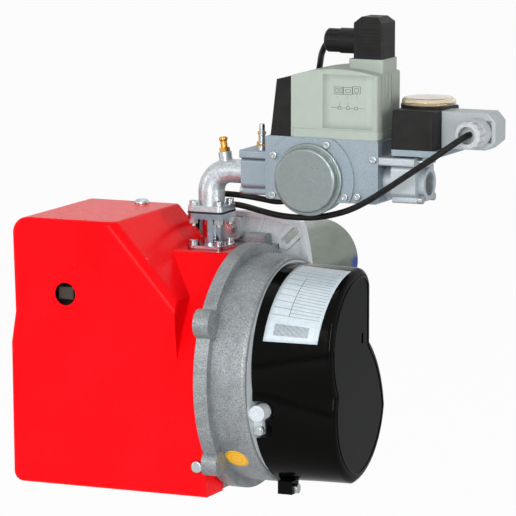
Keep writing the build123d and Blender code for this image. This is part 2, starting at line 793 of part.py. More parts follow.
def riser_bolts():
    foot_seat = riser_foot_z + riser_plate
    high = gasket_z + gasket_thickness + mid_plate
    bolts = []
    for x, y in bolt_places(0, riser_y, riser_bolt):
        bolts.append(socket_bolt(x, y, riser_foot_z, foot_seat))
        bolts.append(socket_bolt(x, y, gasket_z - mid_plate - 8, high))
    return group(bolts)


def mid_nuts():
    nuts = []
    top = gasket_z - mid_plate
    for x, y in bolt_places(0, riser_y, riser_bolt):
        nut = along_z(Pos(x, y) * RegularPolygon(5, 6), top - 5, top)
        nuts.append(nut - rod_z(x, y, bolt_radius, top - 6, top + 1))
    return group(nuts)


def elbow():
    """Cast elbow that tapers from its foot to the valve's outlet."""
    foot = gasket_z + gasket_thickness
    body = square_plate(foot, foot + mid_plate, riser_half)
    bend_z = gas_z - elbow_bend
    turns = 5

    def ring(step, inset):
        t = step / turns
        angle = 90 * t
        x = elbow_bend * (1 - cos(radians(angle)))
        z = bend_z + elbow_bend * sin(radians(angle))
        radius = elbow_foot_radius + (elbow_end_radius - elbow_foot_radius) * t - inset
        place = Plane(origin=(x, riser_y, z), x_dir=(0, 1, 0), z_dir=(sin(radians(angle)), 0, cos(radians(angle))))
        return place * Circle(radius)

    def pipe(inset, z0, x1):
        straight = rod_z(0, riser_y, elbow_foot_radius - inset, z0, bend_z)
        bend = loft([ring(k, inset) for k in range(turns + 1)])
        return straight + bend + rod_x(riser_y, gas_z, elbow_end_radius - inset, elbow_bend, x1)
    body += pipe(0, foot, elbow_end_x)
    boss = Pos(17, riser_y, gas_z + 8) * Rot(0, -8, 0) * Pos(0, 0, 5) * Cylinder(7, 14)
    body += boss
    return body - pipe(5.5, foot - 1, elbow_end_x + 1)


def test_nipple(x, y, z, lean):
    """Brass test point: hexagon and tapered tip."""
    hexagon = along_z(RegularPolygon(6, 6), 0, 4.5)
    tip = revolve(make_face(Polyline((0, 4.5), (3.6, 4.5), (3.6, 11), (4.6, 13), (4.6, 15), (2.6, 16), (0, 16),
                                     close=True)), Axis.Y)
    tip = Rot(90, 0, 0) * tip
    return Pos(x, y, z) * Rot(0, lean, 0) * (hexagon + tip)


def test_nipples():
    top = Pos(17, riser_y, gas_z + 8) * Rot(0, -8, 0) * Pos(0, 0, 12)
    p = top.position
    return group([test_nipple(p.X, p.Y, p.Z, -8), test_nipple(elbow_end_x + 7, -72, gas_z + 26.5, 0)])


# Multifunction gas valve

def valve_body():
    body = box(valve_left, valve_right, valve_front, valve_back, valve_bottom, valve_top)
    body = fillet(edges_near(body, Axis.Y, (-300, -300, -300), (300, 300, 300)), 3)
    # Raised pad and the diaphragm housing's round wall
    pad = along_y(Pos(disc_x, gas_z) * Circle(50) & rect(valve_left, valve_right, valve_bottom, valve_top, 3),
                  valve_front - 2, valve_front)
    body += pad
    body += rod_y(disc_x, gas_z, disc_rim_radius - 1, valve_front - 2, valve_front + 18)
    # Cast pockets in the back
    for x0 in (valve_left + 8, valve_left + 46, valve_left + 84):
        body -= box(x0, x0 + 32, valve_back - 5, valve_back + 1, valve_bottom + 8, valve_top - 14)
    return body


def diaphragm_cover():
    y = valve_front - 2
    rim = rod_y(disc_x, gas_z, disc_rim_radius, y - 4, y)
    rim = fillet(rim.faces().sort_by(Axis.Y)[0].edges(), 1.5)
    dome = rod_y(disc_x, gas_z, disc_radius, y - 12, y - 4)
    dome = fillet(dome.faces().sort_by(Axis.Y)[0].edges(), 2.5)
    arrow = Pos(disc_x + 2, gas_z + 1) * (Rectangle(8, 2.4) + Pos(5, 0) * Triangle(c=7, A=50, B=50, rotation=-90))
    return rim + dome + along_y(arrow, y - 12.6, y - 12)


valve_screw_places = [(85.8, 158.0), (145.2, 171.3), (84.7, 116.5), (165.4, 118.5), (178.8, 119.3), (196.0, 158.4)]


def valve_screws():
    screws = []
    for x, z in valve_screw_places:
        inside = (x - disc_x) ** 2 + (z - gas_z) ** 2 < 50 ** 2
        y = valve_front - (2 if inside else 0)
        head = rod_y(x, z, 4.0, y - 3.5, y)
        head = fillet(head.faces().sort_by(Axis.Y)[0].edges(), 1)
        screws.append(head - along_y(Pos(x, z) * RegularPolygon(2.2, 6), y - 4, y - 2))
    return group(screws)


cover_split_x = 104.0


def solenoid_cover():
    """Moulded coil housing with an arched top, a skirt and ribs on its right side."""
    x0, x1 = cover_split_x, valve_right - 1.5
    top_left, top_middle, top_right = 241.5, 249.5, 244.0
    outline = make_face([
        Line((x0, valve_top), (x1, valve_top)), Line((x1, valve_top), (x1, top_right)),
        ThreePointArc((x1, top_right), ((x0 + x1) / 2 - 4, top_middle), (x0, top_left)),
        Line((x0, top_left), (x0, valve_top)),
    ])
    body = along_y(outline, valve_front, valve_back)
    right = [e for e in body.edges().filter_by(Axis.Z) if e.center().X > x1 - 1]
    body = fillet(right, 4)
    body += along_z(rect(x0, x1 + 0.8, valve_front - 0.8, valve_back + 0.8, 4), valve_top, valve_top + 9)
    for k in range(4):
        y = valve_front + 12 + 9 * k
        body -= box(x1 - 0.9, x1 + 2, y, y + 2.5, valve_top + 34, 260)
    body += along_z(rect(seat_x0, seat_x1, seat_y0, seat_y1, 3), 240, seat_top)
    return body


def solenoid_end_cap():
    """Black cap on the coil housing's left end, leaning in towards its top."""
    outline = make_face(Polyline((79.5, valve_top), (cover_split_x - 0.0, valve_top), (cover_split_x, 240.5),
                                 (103, 240.8), (86.5, 236.5), close=True))
    body = along_y(outline, valve_front + 1, valve_back - 1)
    left = [e for e in body.edges() if e.center().X < 95 and e.geom_type == GeomType.LINE
            and e.bounding_box().size.Z > 50]
    return fillet(left, 3)


seat_x0, seat_x1 = 160.0, 198.0
seat_y0, seat_y1 = -97.0, -56.0
seat_top = 259.0
plug_x0, plug_x1 = 165.0, 195.5
plug_y0, plug_y1 = -95.0, -57.0
plug_top = 302.0


def valve_plug():
    """Rectangular mains plug with a stepped, chamfered top and ribbed faces."""
    body = box(plug_x0, plug_x1, plug_y0, plug_y1, seat_top, plug_top)
    body = chamfer(body.faces().sort_by(Axis.Z)[-1].edges(), 6)
    for k in range(8):
        z = seat_top + 4 + 3.6 * k
        body -= box(plug_x0 + 3, plug_x1 - 3, plug_y0 - 1, plug_y0 + 0.5, z, z + 1.6)
    body -= rod_z((plug_x0 + plug_x1) / 2, (plug_y0 + plug_y1) / 2, 4, plug_top - 5, plug_top + 1)
    return body


gland_y = -76.0
gland_z = 275.5


def plug_gland(length_a, length_b, radius_a, radius_b):
    """Cable gland on the X axis: moulded collar, ribbed nut, and a seal that grips the lead."""
    end = length_a + length_b
    collar = rod_x(0, 0, radius_a, 0, length_a)
    nut = rod_x(0, 0, radius_b, length_a, end)
    nut = chamfer(nut.faces().sort_by(Axis.X)[-1].edges(), 2)
    for k in range(12):
        nut -= Rot(30 * k, 0, 0) * Pos(length_a + length_b / 2, 0, radius_b) * Box(length_b + 1, 1.6, 1.4)
    body = collar + nut - rod_x(0, 0, gland_mouth, end - gland_depth, end + 1)
    return body


gland_mouth = 9.0
gland_depth = 9.0


def cable_glands():
    """The glands of both plugs; each is moulded to its plug's side."""
    valve = Pos(plug_x0, gland_y, gland_z) * Rot(0, 0, 180) * plug_gland(21, 16, 13.2, 12.3)
    switch = Pos(sgland_x, splug_y0, sgland_z) * Rot(0, 0, -90) * plug_gland(18, 14, 15, 14.2)
    return group([valve, switch])


def port_flange(x0, x1):
    """Flange block at the valve's end: round port, top and bottom lugs."""
    body = along_x(rect(riser_y - 26, riser_y + 26, gas_z - 13.5, gas_z + 18, 5), x0, x1)
    body += along_x(rect(lug_front, lug_back, gas_z + 18, gas_z + 26.5, 2), x0, x1)
    body += along_x(rect(riser_y - 22, riser_y + 22, gas_z - 21, gas_z - 13, 3), x0, x1)
    return body


def outlet_flange():
    x0, x1 = elbow_end_x, valve_left
    body = port_flange(x0, x1)
    body -= rod_x(riser_y, gas_z, elbow_end_radius - 5.5, x0 - 1, x1 + 1)
    for y in (riser_y - 16, riser_y + 16):
        body -= rod_x(y, gas_z - 17, bolt_radius + 0.1, x0 - 1, x1 + 1)
    return body


def port_bolts():
    """Cap screws of the valve's two end flanges."""
    bolts = []
    z = gas_z - 17
    for y in (riser_y - 16, riser_y + 16):
        bolts.append(rod_x(y, z, bolt_radius, elbow_end_x, valve_left)
                     + rod_x(y, z, bolt_head_radius, elbow_end_x - 4, elbow_end_x))
        for height in (z, gas_z + 22.0):
            bolts.append(rod_x(y, height, bolt_head_radius, inlet_face_x - 6, inlet_face_x - 1))
    for y in (lug_front + 8, lug_back - 8):
        top = gas_z + 26.5
        bolts.append(rod_z(elbow_end_x + 22, y, bolt_head_radius, top, top + 3.5))
    return group(bolts)


def vent_cap():
    x, y, z = elbow_end_x + 15, -90, gas_z + 26.5
    cap = rod_z(x, y, 3, z, z + 26)
    return fillet(cap.faces().sort_by(Axis.Z)[-1].edges(), 2)


def inlet_flange():
    x0, x1 = valve_right, inlet_face_x
    body = port_flange(x0 + 12, x1 - 6)
    body += rod_x(riser_y, gas_z - 2, 18.5, x0, x0 + 12)
    body += rod_x(riser_y, gas_z - 2, port_radius + 2, x1 - 6, x1)
    body += along_x(rect(lug_front, lug_back, gas_z + 18, gas_z + 26.5, 2), x0, x0 + 12)
    body -= rod_x(riser_y, gas_z - 2, inlet_bore_radius, x0 + 6, x1 + 1)
    return body


# Gas pressure switch on the inlet

switch_x0, switch_x1 = 214.0, 259.0
switch_y0, switch_y1 = -110.0, -36.0
switch_z0 = 169.5
switch_z1 = 210.0
dial_x, dial_y = 243.0, -66.0


def switch_base():
    top = gas_z + 26.5
    base = along_z(rect(switch_x0 - 1, switch_x1 + 6, switch_y0 - 2, switch_y1 + 2, 2), top + 2, switch_z0)
    base += rod_z(230, riser_y, 10, top, top + 2)
    return base


def switch_box():
    """Tapered black housing with bevelled front corners and the dial's well."""
    def section(z, grow):
        return Pos(0, 0, z) * rect(switch_x0 - grow, switch_x1, switch_y0 - grow, switch_y1, 2)
    body = loft([section(switch_z0, 1.5), section(switch_z1, 0)], ruled=True)
    body = fillet(body.faces().sort_by(Axis.Z)[-1].edges(), 1.5)
    body += rod_z(dial_x - 6, dial_y, 29, switch_z1 - 6, switch_z1 + 3) & box(200, switch_x1, -140, 0, 0, 400)
    body -= rod_z(dial_x - 6, dial_y, 21, switch_z1 - 5, switch_z1 + 4)
    return body


def switch_dial():
    """Setting dial with a raised grip bar."""
    x = dial_x - 6
    dial = rod_z(x, dial_y, 20, switch_z1 - 4.7, switch_z1 + 2)
    dial = chamfer(dial.faces().sort_by(Axis.Z)[-1].edges(), 1)
    dial += Pos(x, dial_y, switch_z1 + 3) * Rot(0, 0, 25) * Box(30, 4, 3)
    return dial


def switch_lid():
    """Clear lid over the dial: a shallow cap with a rounded edge."""
    x, z = dial_x - 6, switch_z1 + 3

    def cap(radius, height, rounding):
        body = rod_z(x, dial_y, radius, z, z + height)
        return fillet(body.faces().sort_by(Axis.Z)[-1].edges(), rounding)
    return cap(28, 7, 4) - cap(26, 5.2, 3)


splug_y0, splug_y1 = -88.0, -58.0
splug_z0, splug_z1 = 170.0, 208.5
splug_end = 318.0


def switch_plug():
    """Grey mains plug on the switch's side with a chamfered end and screw recess."""
    x0 = switch_x1
    outline = make_face(Polyline((x0, splug_z0), (x0 + 48, splug_z0), (splug_end, splug_z0 + 9), (splug_end, splug_z1 - 9),
                                 (splug_end - 8, splug_z1), (x0, splug_z1), close=True))
    body = along_y(outline, splug_y0, splug_y1)
    front = body.faces().sort_by(Axis.Y)[0]
    body = fillet(front.edges(), 1.5)
    body -= box(splug_end - 14, splug_end - 4, splug_y0 - 1, splug_y0 + 4, splug_z0 + 8, splug_z1 - 8)
    body += rod_y(splug_end - 9, (splug_z0 + splug_z1) / 2, 3.6, splug_y0 + 1, splug_y0 + 4)
    return body


sgland_x, sgland_z = 299.0, 188.5


# Leads

switch_route = [(299, -111, 188.5), (299, -120, 188.5), (295.5, -129, 185), (286.5, -135, 178),
                (269.5, -138, 165.5), (246.5, -137, 150.4), (221, -133, 133.5), (196.5, -127, 118),
                (171, -118, 105), (145, -109, 97), (121.5, -101, 92), (93, -92, 90.3), (72.5, -85, 90.9),
                (49, -75, 93), (28, -62, 94.5), (9, -51, 94.5), (-8, -41, 90.5), (-20.5, -32, 81),
                (-26.5, -26, 69), (-28, -24, 58), (-28, -24, 48)]
valve_route = [(137, -76, 275.5), (130.5, -76, 275.5), (124, -73, 269.5), (117.5, -65, 262), (111, -53, 256),
               (105, -42, 245), (100, -37, 229), (96, -37, 206), (92, -38.5, 180), (90, -40, 155), (88.5, -41, 132),
               (85, -43, 114), (76, -45.5, 102), (61, -48, 98.5), (43, -50.5, 101.5), (24, -54, 104.5),
               (5, -55, 105.5), (-13, -50, 104), (-29, -40, 97), (-40, -30, 85), (-45, -25, 70), (-46, -24, 58),
               (-46, -24, 48)]


def route_radii(points):
    """Largest bend that each corner's two runs allow."""
    radii = []
    for a, b, c in zip(points, points[1:], points[2:]):
        before, after = Vector(*b) - Vector(*a), Vector(*c) - Vector(*b)
        half_turn = radians(before.get_angle(after)) / 2
        radii.append(0.45 * min(before.length, after.length) / tan(half_turn))
    return radii


def lead(name, points):
    radii = route_radii(points)
    path = FilletPolyline(*points, radius=radii)
    start = Plane(origin=points[0], z_dir=Vector(*points[1]) - Vector(*points[0]))
    tube = sweep(start * Circle(lead_radius), path=path)
    expected = pi * lead_radius ** 2 * path.length
    print(name, "length", round(path.length, 1), "volume ratio", round(tube.volume / expected, 4),
          "radii", [round(r) for r in radii])
    return tube


NODES = {
    "fan_housing": fan_housing,
    "mounting_flange": mounting_flange,
    "flange_clamp_bolt": clamp_bolt,
    "blast_tube": blast_tube,
    "diffuser_disc": diffuser_disc,
    "gas_head": gas_head,
    "electrode_holder": electrode_holder,
    "electrode_ceramics": electrodes,
    "electrode_wires": electrode_wires,
    "scroll_liner": scroll_liner,
    "inlet_cone": inlet_cone,
    "fan_wheel": fan_wheel,
    "wheel_screw": wheel_screw,
    "motor_plate": motor_plate,
    "motor_bearings": motor_bearings,
    "motor_core": motor_core,
    "motor_windings": motor_windings,
    "motor_bell": motor_bell,
    "rotor": rotor,
    "motor_capacitor": motor_capacitor,
    "motor_shroud": motor_shroud,
    "shroud_screws": shroud_screws,
    "front_cover": front_cover,
    "cover_screws": cover_screws,
    "back_plate": back_plate,
    "intake_box": intake_box,
    "air_damper": air_damper,
    "control_box": control_box,
    "control_base": control_base,
    "reset_button": reset_button,
    "ignition_transformer": ignition_transformer,
    "air_pressure_switch": air_pressure_switch,
    "air_switch_dial": air_switch_dial,
    "head_cover": head_cover,
    "cable_grommets": cable_grommets,
    "gas_manifold": gas_manifold,
    "gas_riser": gas_riser,
    "riser_gasket": riser_gasket,
    "riser_bolts": riser_bolts,
    "riser_nuts": mid_nuts,
    "elbow": elbow,
    "test_nipples": test_nipples,
    "valve_body": valve_body,
    "diaphragm_cover": diaphragm_cover,
    "valve_screws": valve_screws,
    "solenoid_cover": solenoid_cover,
    "solenoid_end_cap": solenoid_end_cap,
    "valve_plug": valve_plug,
    "outlet_flange": outlet_flange,
    "port_bolts": port_bolts,
    "vent_cap": vent_cap,
    "inlet_flange": inlet_flange,
    "switch_base": switch_base,
    "switch_box": switch_box,
    "switch_dial": switch_dial,
    "switch_lid": switch_lid,
    "switch_plug": switch_plug,
    "cable_glands": cable_glands,
    "switch_lead": lambda: lead("switch_lead", switch_route),
    "valve_lead": lambda: lead("valve_lead", valve_route),
}

os.makedirs("parts", exist_ok=True)
for name, make in NODES.items():
    export_step(make(), f"parts/{name}.step")
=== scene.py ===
"""Looks of a small industrial gas burner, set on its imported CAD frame.

Metres, +Z up, the blast tube along +Y and the motor side at +X.
The solids come from the frame. This file gives them their finishes, and adds the two
leads, the stuck plates, the shroud's bead, and the fine ribs and ticks that repeat.
"""
import math

import bmesh
import bpy
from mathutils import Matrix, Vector
from mathutils.bvhtree import BVHTree


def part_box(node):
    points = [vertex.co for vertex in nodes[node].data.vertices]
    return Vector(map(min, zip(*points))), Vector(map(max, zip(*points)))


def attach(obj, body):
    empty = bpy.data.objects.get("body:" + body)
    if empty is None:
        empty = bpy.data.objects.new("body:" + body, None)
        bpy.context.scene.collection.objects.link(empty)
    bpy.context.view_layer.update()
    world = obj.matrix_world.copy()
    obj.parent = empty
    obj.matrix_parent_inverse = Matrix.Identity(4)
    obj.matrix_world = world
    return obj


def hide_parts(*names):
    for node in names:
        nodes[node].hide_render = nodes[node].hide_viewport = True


MM = 0.001

# The photograph's viewpoint
CAMERA_PLACE = (1.72856, -3.88003, 0.66894)
CAMERA_TILT = 90 - 8.57
CAMERA_TURN = 23.82
CAMERA_LENS = 279.07
CAMERA_SENSOR = 36.0

# Leads, in millimetres as the CAD gives them
LEAD_DIAMETER = 6.5
SWITCH_ROUTE = [
    (299, -111, 188.5), (299, -120, 188.5), (295.5, -129, 185), (286.5, -135, 178),
    (269.5, -138, 165.5), (246.5, -137, 150.4), (221, -133, 133.5), (196.5, -127, 118),
    (171, -118, 105), (145, -109, 97), (121.5, -101, 92), (93, -92, 90.3), (72.5, -85, 90.9),
    (49, -75, 93), (28, -62, 94.5), (9, -51, 94.5), (-8, -41, 90.5), (-20.5, -32, 81),
    (-26.5, -26, 69), (-28, -24, 58), (-28, -24, 48),
]
VALVE_ROUTE = [
    (137, -76, 275.5), (130.5, -76, 275.5), (124, -73, 269.5), (117.5, -65, 262),
    (111, -53, 256), (105, -42, 245), (100, -37, 229), (96, -37, 206), (92, -38.5, 180),
    (90, -40, 155), (88.5, -41, 132), (85, -43, 114), (76, -45.5, 102), (61, -48, 98.5),
    (43, -50.5, 101.5), (24, -54, 104.5), (5, -55, 105.5), (-13, -50, 104), (-29, -40, 97),
    (-40, -30, 85), (-45, -25, 70), (-46, -24, 58), (-46, -24, 48),
]

# Axis of the fan and the drum in (y, z), and a distance that clears every piece, in metres
FAN_AXIS = (-98, -68)
OUTSIDE = 0.3

# Rating plate on the shroud: its span along X, and round the shroud in degrees
PLATE_CENTRE = (-98, -40)
PLATE_LOW = (105.2, 157.6)
PLATE_HIGH = (110.0, 166.0)
PLATE_ANGLES = (93, 170.5)
PLATE_THICKNESS = 0.15

# Oval sticker on the drum: its middle and half size along X, and in degrees round the drum
STICKER_X, STICKER_HALF_X = 72.5, 12.4
STICKER_ANGLE, STICKER_HALF_ANGLE = 224.5, 6.6
FOIL_THICKNESS = 0.12
FOIL_GLUE = 0.02

# Foil on the coil housing's front: lower left corner and size in (x, z)
COIL_FOIL_CORNER = (139.5, 188.5)
COIL_FOIL_SIZE = (57.0, 55.5)
COIL_FRONT_INSET = 0.8

# Bead round the shroud's end panel
BEAD_CENTRE = (-98, -76)
BEAD_STEPS = 120
BEAD_INSET = 8.5
BEAD_RADIUS = 1.3
BEAD_DEPTH = 0.3

# Black gland left of this plane, light grey gland right of it, in metres
GLAND_SPLIT_X = 0.22

# Studio, in metres and watts
FLOOR_LEVEL = -0.55
FLOOR_REACH = 12.0
LIGHT_TARGET = (0.05, -0.05, 0.02)
LIGHTS = {
    "key": ((-0.2, -3.1, 1.0), (1.1, 1.1), 18),
    "edge_strip": ((0.5, -3.0, 0.7), (0.17, 1.5), 32),
    "right_fill": ((2.9, -1.4, 0.6), (0.09, 1.6), 30),
    "left_strip": ((-2.4, -1.6, 0.3), (0.2, 1.8), 9),
    "top": ((0.1, 0.2, 2.6), (1.6, 1.6), 7),
}

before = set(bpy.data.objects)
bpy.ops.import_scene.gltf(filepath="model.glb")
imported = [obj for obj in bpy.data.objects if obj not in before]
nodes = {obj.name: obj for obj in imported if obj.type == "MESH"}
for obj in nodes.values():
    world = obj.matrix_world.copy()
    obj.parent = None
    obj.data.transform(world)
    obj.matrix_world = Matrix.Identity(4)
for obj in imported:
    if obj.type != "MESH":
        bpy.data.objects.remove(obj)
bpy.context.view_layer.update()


def mm(*values):
    """Millimetres as a vector in metres."""
    return Vector(values) * MM


def paint(red, green, blue):
    """A colour mixed as 0 to 255 screen values, as the shader wants it."""
    def linear(value):
        share = value / 255
        return share / 12.92 if share <= 0.04045 else ((share + 0.055) / 1.055) ** 2.4
    return (linear(red), linear(green), linear(blue), 1.0)


def spoke(angle):
    """Unit vector in the YZ plane at an angle in radians from +Y."""
    return Vector((0, math.cos(angle), math.sin(angle)))


# Camera

def make_camera():
    lens = bpy.data.cameras.new("photo_lens")
    lens.lens = CAMERA_LENS
    lens.sensor_width = CAMERA_SENSOR
    camera = bpy.data.objects.new("photo_camera", lens)
    camera.location = CAMERA_PLACE
    camera.rotation_euler = (math.radians(CAMERA_TILT), 0, math.radians(CAMERA_TURN))
    bpy.context.scene.collection.objects.link(camera)
    bpy.context.scene.camera = camera


# Finishes

class Finish:
    """One procedural finish: a Principled shader fed by patterns on Object coordinates."""

    def __init__(self, name, roughness, metallic=0.0, specular=0.5, coat=0.0, edge=0.35):
        self.material = bpy.data.materials.new(name)
        self.material.use_nodes = True
        self.tree = self.material.node_tree
        self.shader = self.tree.nodes["Principled BSDF"]
        self.shader.inputs["Roughness"].default_value = roughness
        self.shader.inputs["Metallic"].default_value = metallic
        self.shader.inputs["Specular IOR Level"].default_value = specular
        self.shader.inputs["Coat Weight"].default_value = coat
        self.shader.inputs["Coat Roughness"].default_value = 0.06
        self.where = self.node("ShaderNodeTexCoord").outputs["Object"]
        self.normal = None
        if edge:
            bevel = self.node("ShaderNodeBevel", samples=4)
            bevel.inputs["Radius"].default_value = edge * MM
            self.normal = bevel.outputs["Normal"]
            self.tree.links.new(self.normal, self.shader.inputs["Normal"])

    def node(self, kind, **settings):
        made = self.tree.nodes.new(kind)
        for name, value in settings.items():
            setattr(made, name, value)
        return made

    def feed(self, target, value):
        if isinstance(value, bpy.types.NodeSocket):
            self.tree.links.new(value, target)
        else:
            target.default_value = value

    def placed(self, centre=(0, 0, 0), turn=(0, 0, 0), stretch=(1, 1, 1)):
        """Object coordinates about a point in millimetres, turned in degrees and stretched."""
        shift = self.node("ShaderNodeVectorMath", operation="SUBTRACT")
        self.feed(shift.inputs[0], self.where)
        shift.inputs[1].default_value = mm(*centre)
        mapping = self.node("ShaderNodeMapping")
        self.feed(mapping.inputs["Vector"], shift.outputs[0])
        mapping.inputs["Rotation"].default_value = [math.radians(a) for a in turn]
        mapping.inputs["Scale"].default_value = stretch
        return mapping.outputs[0]

    def grain(self, size, detail=3.0, rough=0.55, where=None, twist=0.0):
        """Noise whose features are about size millimetres across."""
        noise = self.node("ShaderNodeTexNoise")
        self.feed(noise.inputs["Vector"], where or self.where)
        noise.inputs["Scale"].default_value = 1 / (size * MM)
        noise.inputs["Detail"].default_value = detail
        noise.inputs["Roughness"].default_value = rough
        noise.inputs["Distortion"].default_value = twist
        return noise.outputs["Fac"]

    def crystals(self, size, where=None):
        """Cells with one random value each, as on hot-dipped zinc."""
        cells = self.node("ShaderNodeTexVoronoi")
        self.feed(cells.inputs["Vector"], where or self.where)
        cells.inputs["Scale"].default_value = 1 / (size * MM)
        return self.channel(cells.outputs["Color"])

    def bands(self, pitch, where, axis="X"):
        """Smooth light and dark bands, pitch millimetres apart along an axis."""
        wave = self.node("ShaderNodeTexWave", bands_direction=axis)
        self.feed(wave.inputs["Vector"], where)
        wave.inputs["Scale"].default_value = math.pi / 10 / (pitch * MM)
        return wave.outputs["Fac"]

    def channel(self, socket, part=0):
        split = self.node("ShaderNodeSeparateXYZ")
        self.feed(split.inputs[0], socket)
        return split.outputs[part]

    def maths(self, operation, a, b=0.0):
        made = self.node("ShaderNodeMath", operation=operation)
        self.feed(made.inputs[0], a)
        self.feed(made.inputs[1], b)
        return made.outputs[0]

    def spread(self, source, low, high, start=0.0, end=1.0):
        """Maps source from start..end to low..high, held at both ends."""
        made = self.node("ShaderNodeMapRange")
        self.feed(made.inputs["Value"], source)
        made.inputs["From Min"].default_value = start
        made.inputs["From Max"].default_value = end
        made.inputs["To Min"].default_value = low
        made.inputs["To Max"].default_value = high
        return made.outputs["Result"]

    def within(self, value, low, high):
        """1 where value lies between low and high."""
        above = self.maths("GREATER_THAN", value, low)
        return self.maths("MULTIPLY", above, self.maths("LESS_THAN", value, high))

    def sheet_map(self):
        """The two shares of a stuck sheet's own map, across it and up it."""
        uv = self.node("ShaderNodeUVMap", uv_map="sheet").outputs[0]
        return self.channel(uv, 0), self.channel(uv, 1)

    def near(self, point, reach):
        """1 at a point in millimetres, falling to 0 at reach millimetres from it."""
        length = self.node("ShaderNodeVectorMath", operation="LENGTH")
        self.feed(length.inputs[0], self.placed(point))
        return self.spread(length.outputs["Value"], 1.0, 0.0, 0.0, reach * MM)

    def blend(self, share, first, second):
        mix = self.node("ShaderNodeMix", data_type="RGBA")
        self.feed(mix.inputs[0], share)
        self.feed(mix.inputs[6], first)
        self.feed(mix.inputs[7], second)
        return mix.outputs[2]

    def colour(self, value):
        self.feed(self.shader.inputs["Base Color"], value)
        return self

    def roughness(self, value):
        self.feed(self.shader.inputs["Roughness"], value)
        return self

    def relief(self, height, depth, strength=1.0):
        """Bump of depth millimetres on top of what is there."""
        bump = self.node("ShaderNodeBump")
        bump.inputs["Strength"].default_value = strength
        bump.inputs["Distance"].default_value = depth * MM
        self.feed(bump.inputs["Height"], height)
        if self.normal is not None:
            self.feed(bump.inputs["Normal"], self.normal)
        self.normal = bump.outputs["Normal"]
        self.feed(self.shader.inputs["Normal"], self.normal)
        return self


def sand_cast(name, pale, dark, skin=0.10):
    """Shot-blasted die casting: fine speckle, darker clouds and a grainy skin."""
    made = Finish(name, 0.5, metallic=0.55, edge=0.6)
    fine = made.grain(1.1, 4, 0.7)
    cloud = made.grain(17, 3, 0.6, twist=0.4)
    speckled = made.blend(made.spread(fine, 0, 1, 0.36, 0.66), dark, pale)
    made.colour(made.blend(made.spread(cloud, 0.0, 0.45, 0.45, 0.72), speckled, dark))
    made.roughness(made.spread(fine, 0.58, 0.38, 0.3, 0.7))
    return made.relief(made.grain(0.7, 2, 0.6), skin).relief(made.grain(4.5, 3, 0.6), skin * 1.4)


def machined(name, pale, roughness):
    """Turned or milled bright metal with fine tool marks."""
    made = Finish(name, roughness, metallic=1.0, edge=0.25)
    cloud = made.grain(9, 3, 0.6)
    dull = tuple(0.72 * c for c in pale[:3]) + (1.0,)
    made.colour(made.blend(made.spread(cloud, 0, 0.55, 0.4, 0.75), pale, dull))
    made.roughness(made.spread(made.grain(1.6, 3, 0.6), roughness + 0.1, roughness - 0.06, 0.3, 0.7))
    marks = made.grain(0.35, 1, 0.5, made.placed(stretch=(1, 1, 4)))
    return made.relief(marks, 0.02, 0.6)


def moulded(name, tone, roughness, specular=0.5, grain=0.22, depth=0.03, fleck=0.1,
            coat=0.0, edge=0.5):
    """Moulded plastic: an even tone with a faint cloud and a fine spark-eroded grain."""
    made = Finish(name, roughness, specular=specular, coat=coat, edge=edge)
    pale = tuple(min(1.0, c * (1 + fleck) + 0.004 * fleck) for c in tone[:3]) + (1.0,)
    deep = tuple(c * (1 - fleck) for c in tone[:3]) + (1.0,)
    cloud = made.grain(12, 3, 0.6)
    made.colour(made.blend(made.spread(cloud, 0, 1, 0.3, 0.7), deep, pale))
    made.roughness(made.spread(made.grain(2.5, 3, 0.6), roughness + 0.05, roughness - 0.04, 0.3, 0.7))
    return made.relief(made.grain(grain, 2, 0.5), depth)


def drum_casting():
    return sand_cast("drum_casting", paint(175, 180, 182), paint(104, 108, 110))


def valve_casting():
    made = sand_cast("valve_casting", paint(149, 162, 170), paint(130, 142, 150), 0.03)
    made.shader.inputs["Metallic"].default_value = 0.6
    return made


def bright_casting():
    return sand_cast("bright_casting", paint(186, 194, 198), paint(164, 172, 176), 0.03)


def elbow_casting():
    """Rougher and brighter casting, mottled."""
    made = Finish("elbow_casting", 0.36, metallic=0.8, edge=0.6)
    mottle = made.grain(2.4, 4, 0.62, twist=0.5)
    share = made.spread(mottle, 0, 1, 0.32, 0.68)
    made.colour(made.blend(share, paint(160, 166, 170), paint(208, 214, 218)))
    made.roughness(made.spread(mottle, 0.42, 0.3, 0.3, 0.7))
    return made.relief(made.grain(2.0, 3, 0.6), 0.1).relief(made.grain(0.7, 2, 0.5), 0.05)


def flange_casting():
    made = sand_cast("flange_casting", paint(222, 228, 232), paint(188, 194, 198), 0.06)
    made.shader.inputs["Metallic"].default_value = 0.3
    return made


def red_paint():
    """Glossy powder coat with a slight orange peel."""
    made = Finish("red_paint", 0.24, specular=0.05, edge=1.0)
    cloud = made.spread(made.grain(60, 2, 0.5), 0, 1, 0.3, 0.7)
    made.colour(made.blend(cloud, paint(250, 9, 18), paint(254, 14, 24)))
    made.roughness(made.spread(made.grain(8, 2, 0.5), 0.28, 0.22, 0.3, 0.7))
    return made.relief(made.grain(1.9, 2, 0.4), 0.006).relief(made.grain(45, 1, 0.3), 0.05)


def black_lacquer():
    """Black gloss moulding of the motor shroud, with faint flow marks and dust."""
    made = Finish("black_lacquer", 0.1, specular=0.06, edge=0.9)
    dust = made.spread(made.grain(1.4, 4, 0.75), 0, 0.3, 0.58, 0.8)
    made.colour(made.blend(dust, paint(5, 5, 4), paint(28, 26, 24)))
    made.roughness(made.spread(made.grain(14, 4, 0.65, twist=0.6), 0.17, 0.09, 0.35, 0.7))
    return made.relief(made.grain(11, 2, 0.5), 0.03).relief(made.grain(0.8, 2, 0.5), 0.006)


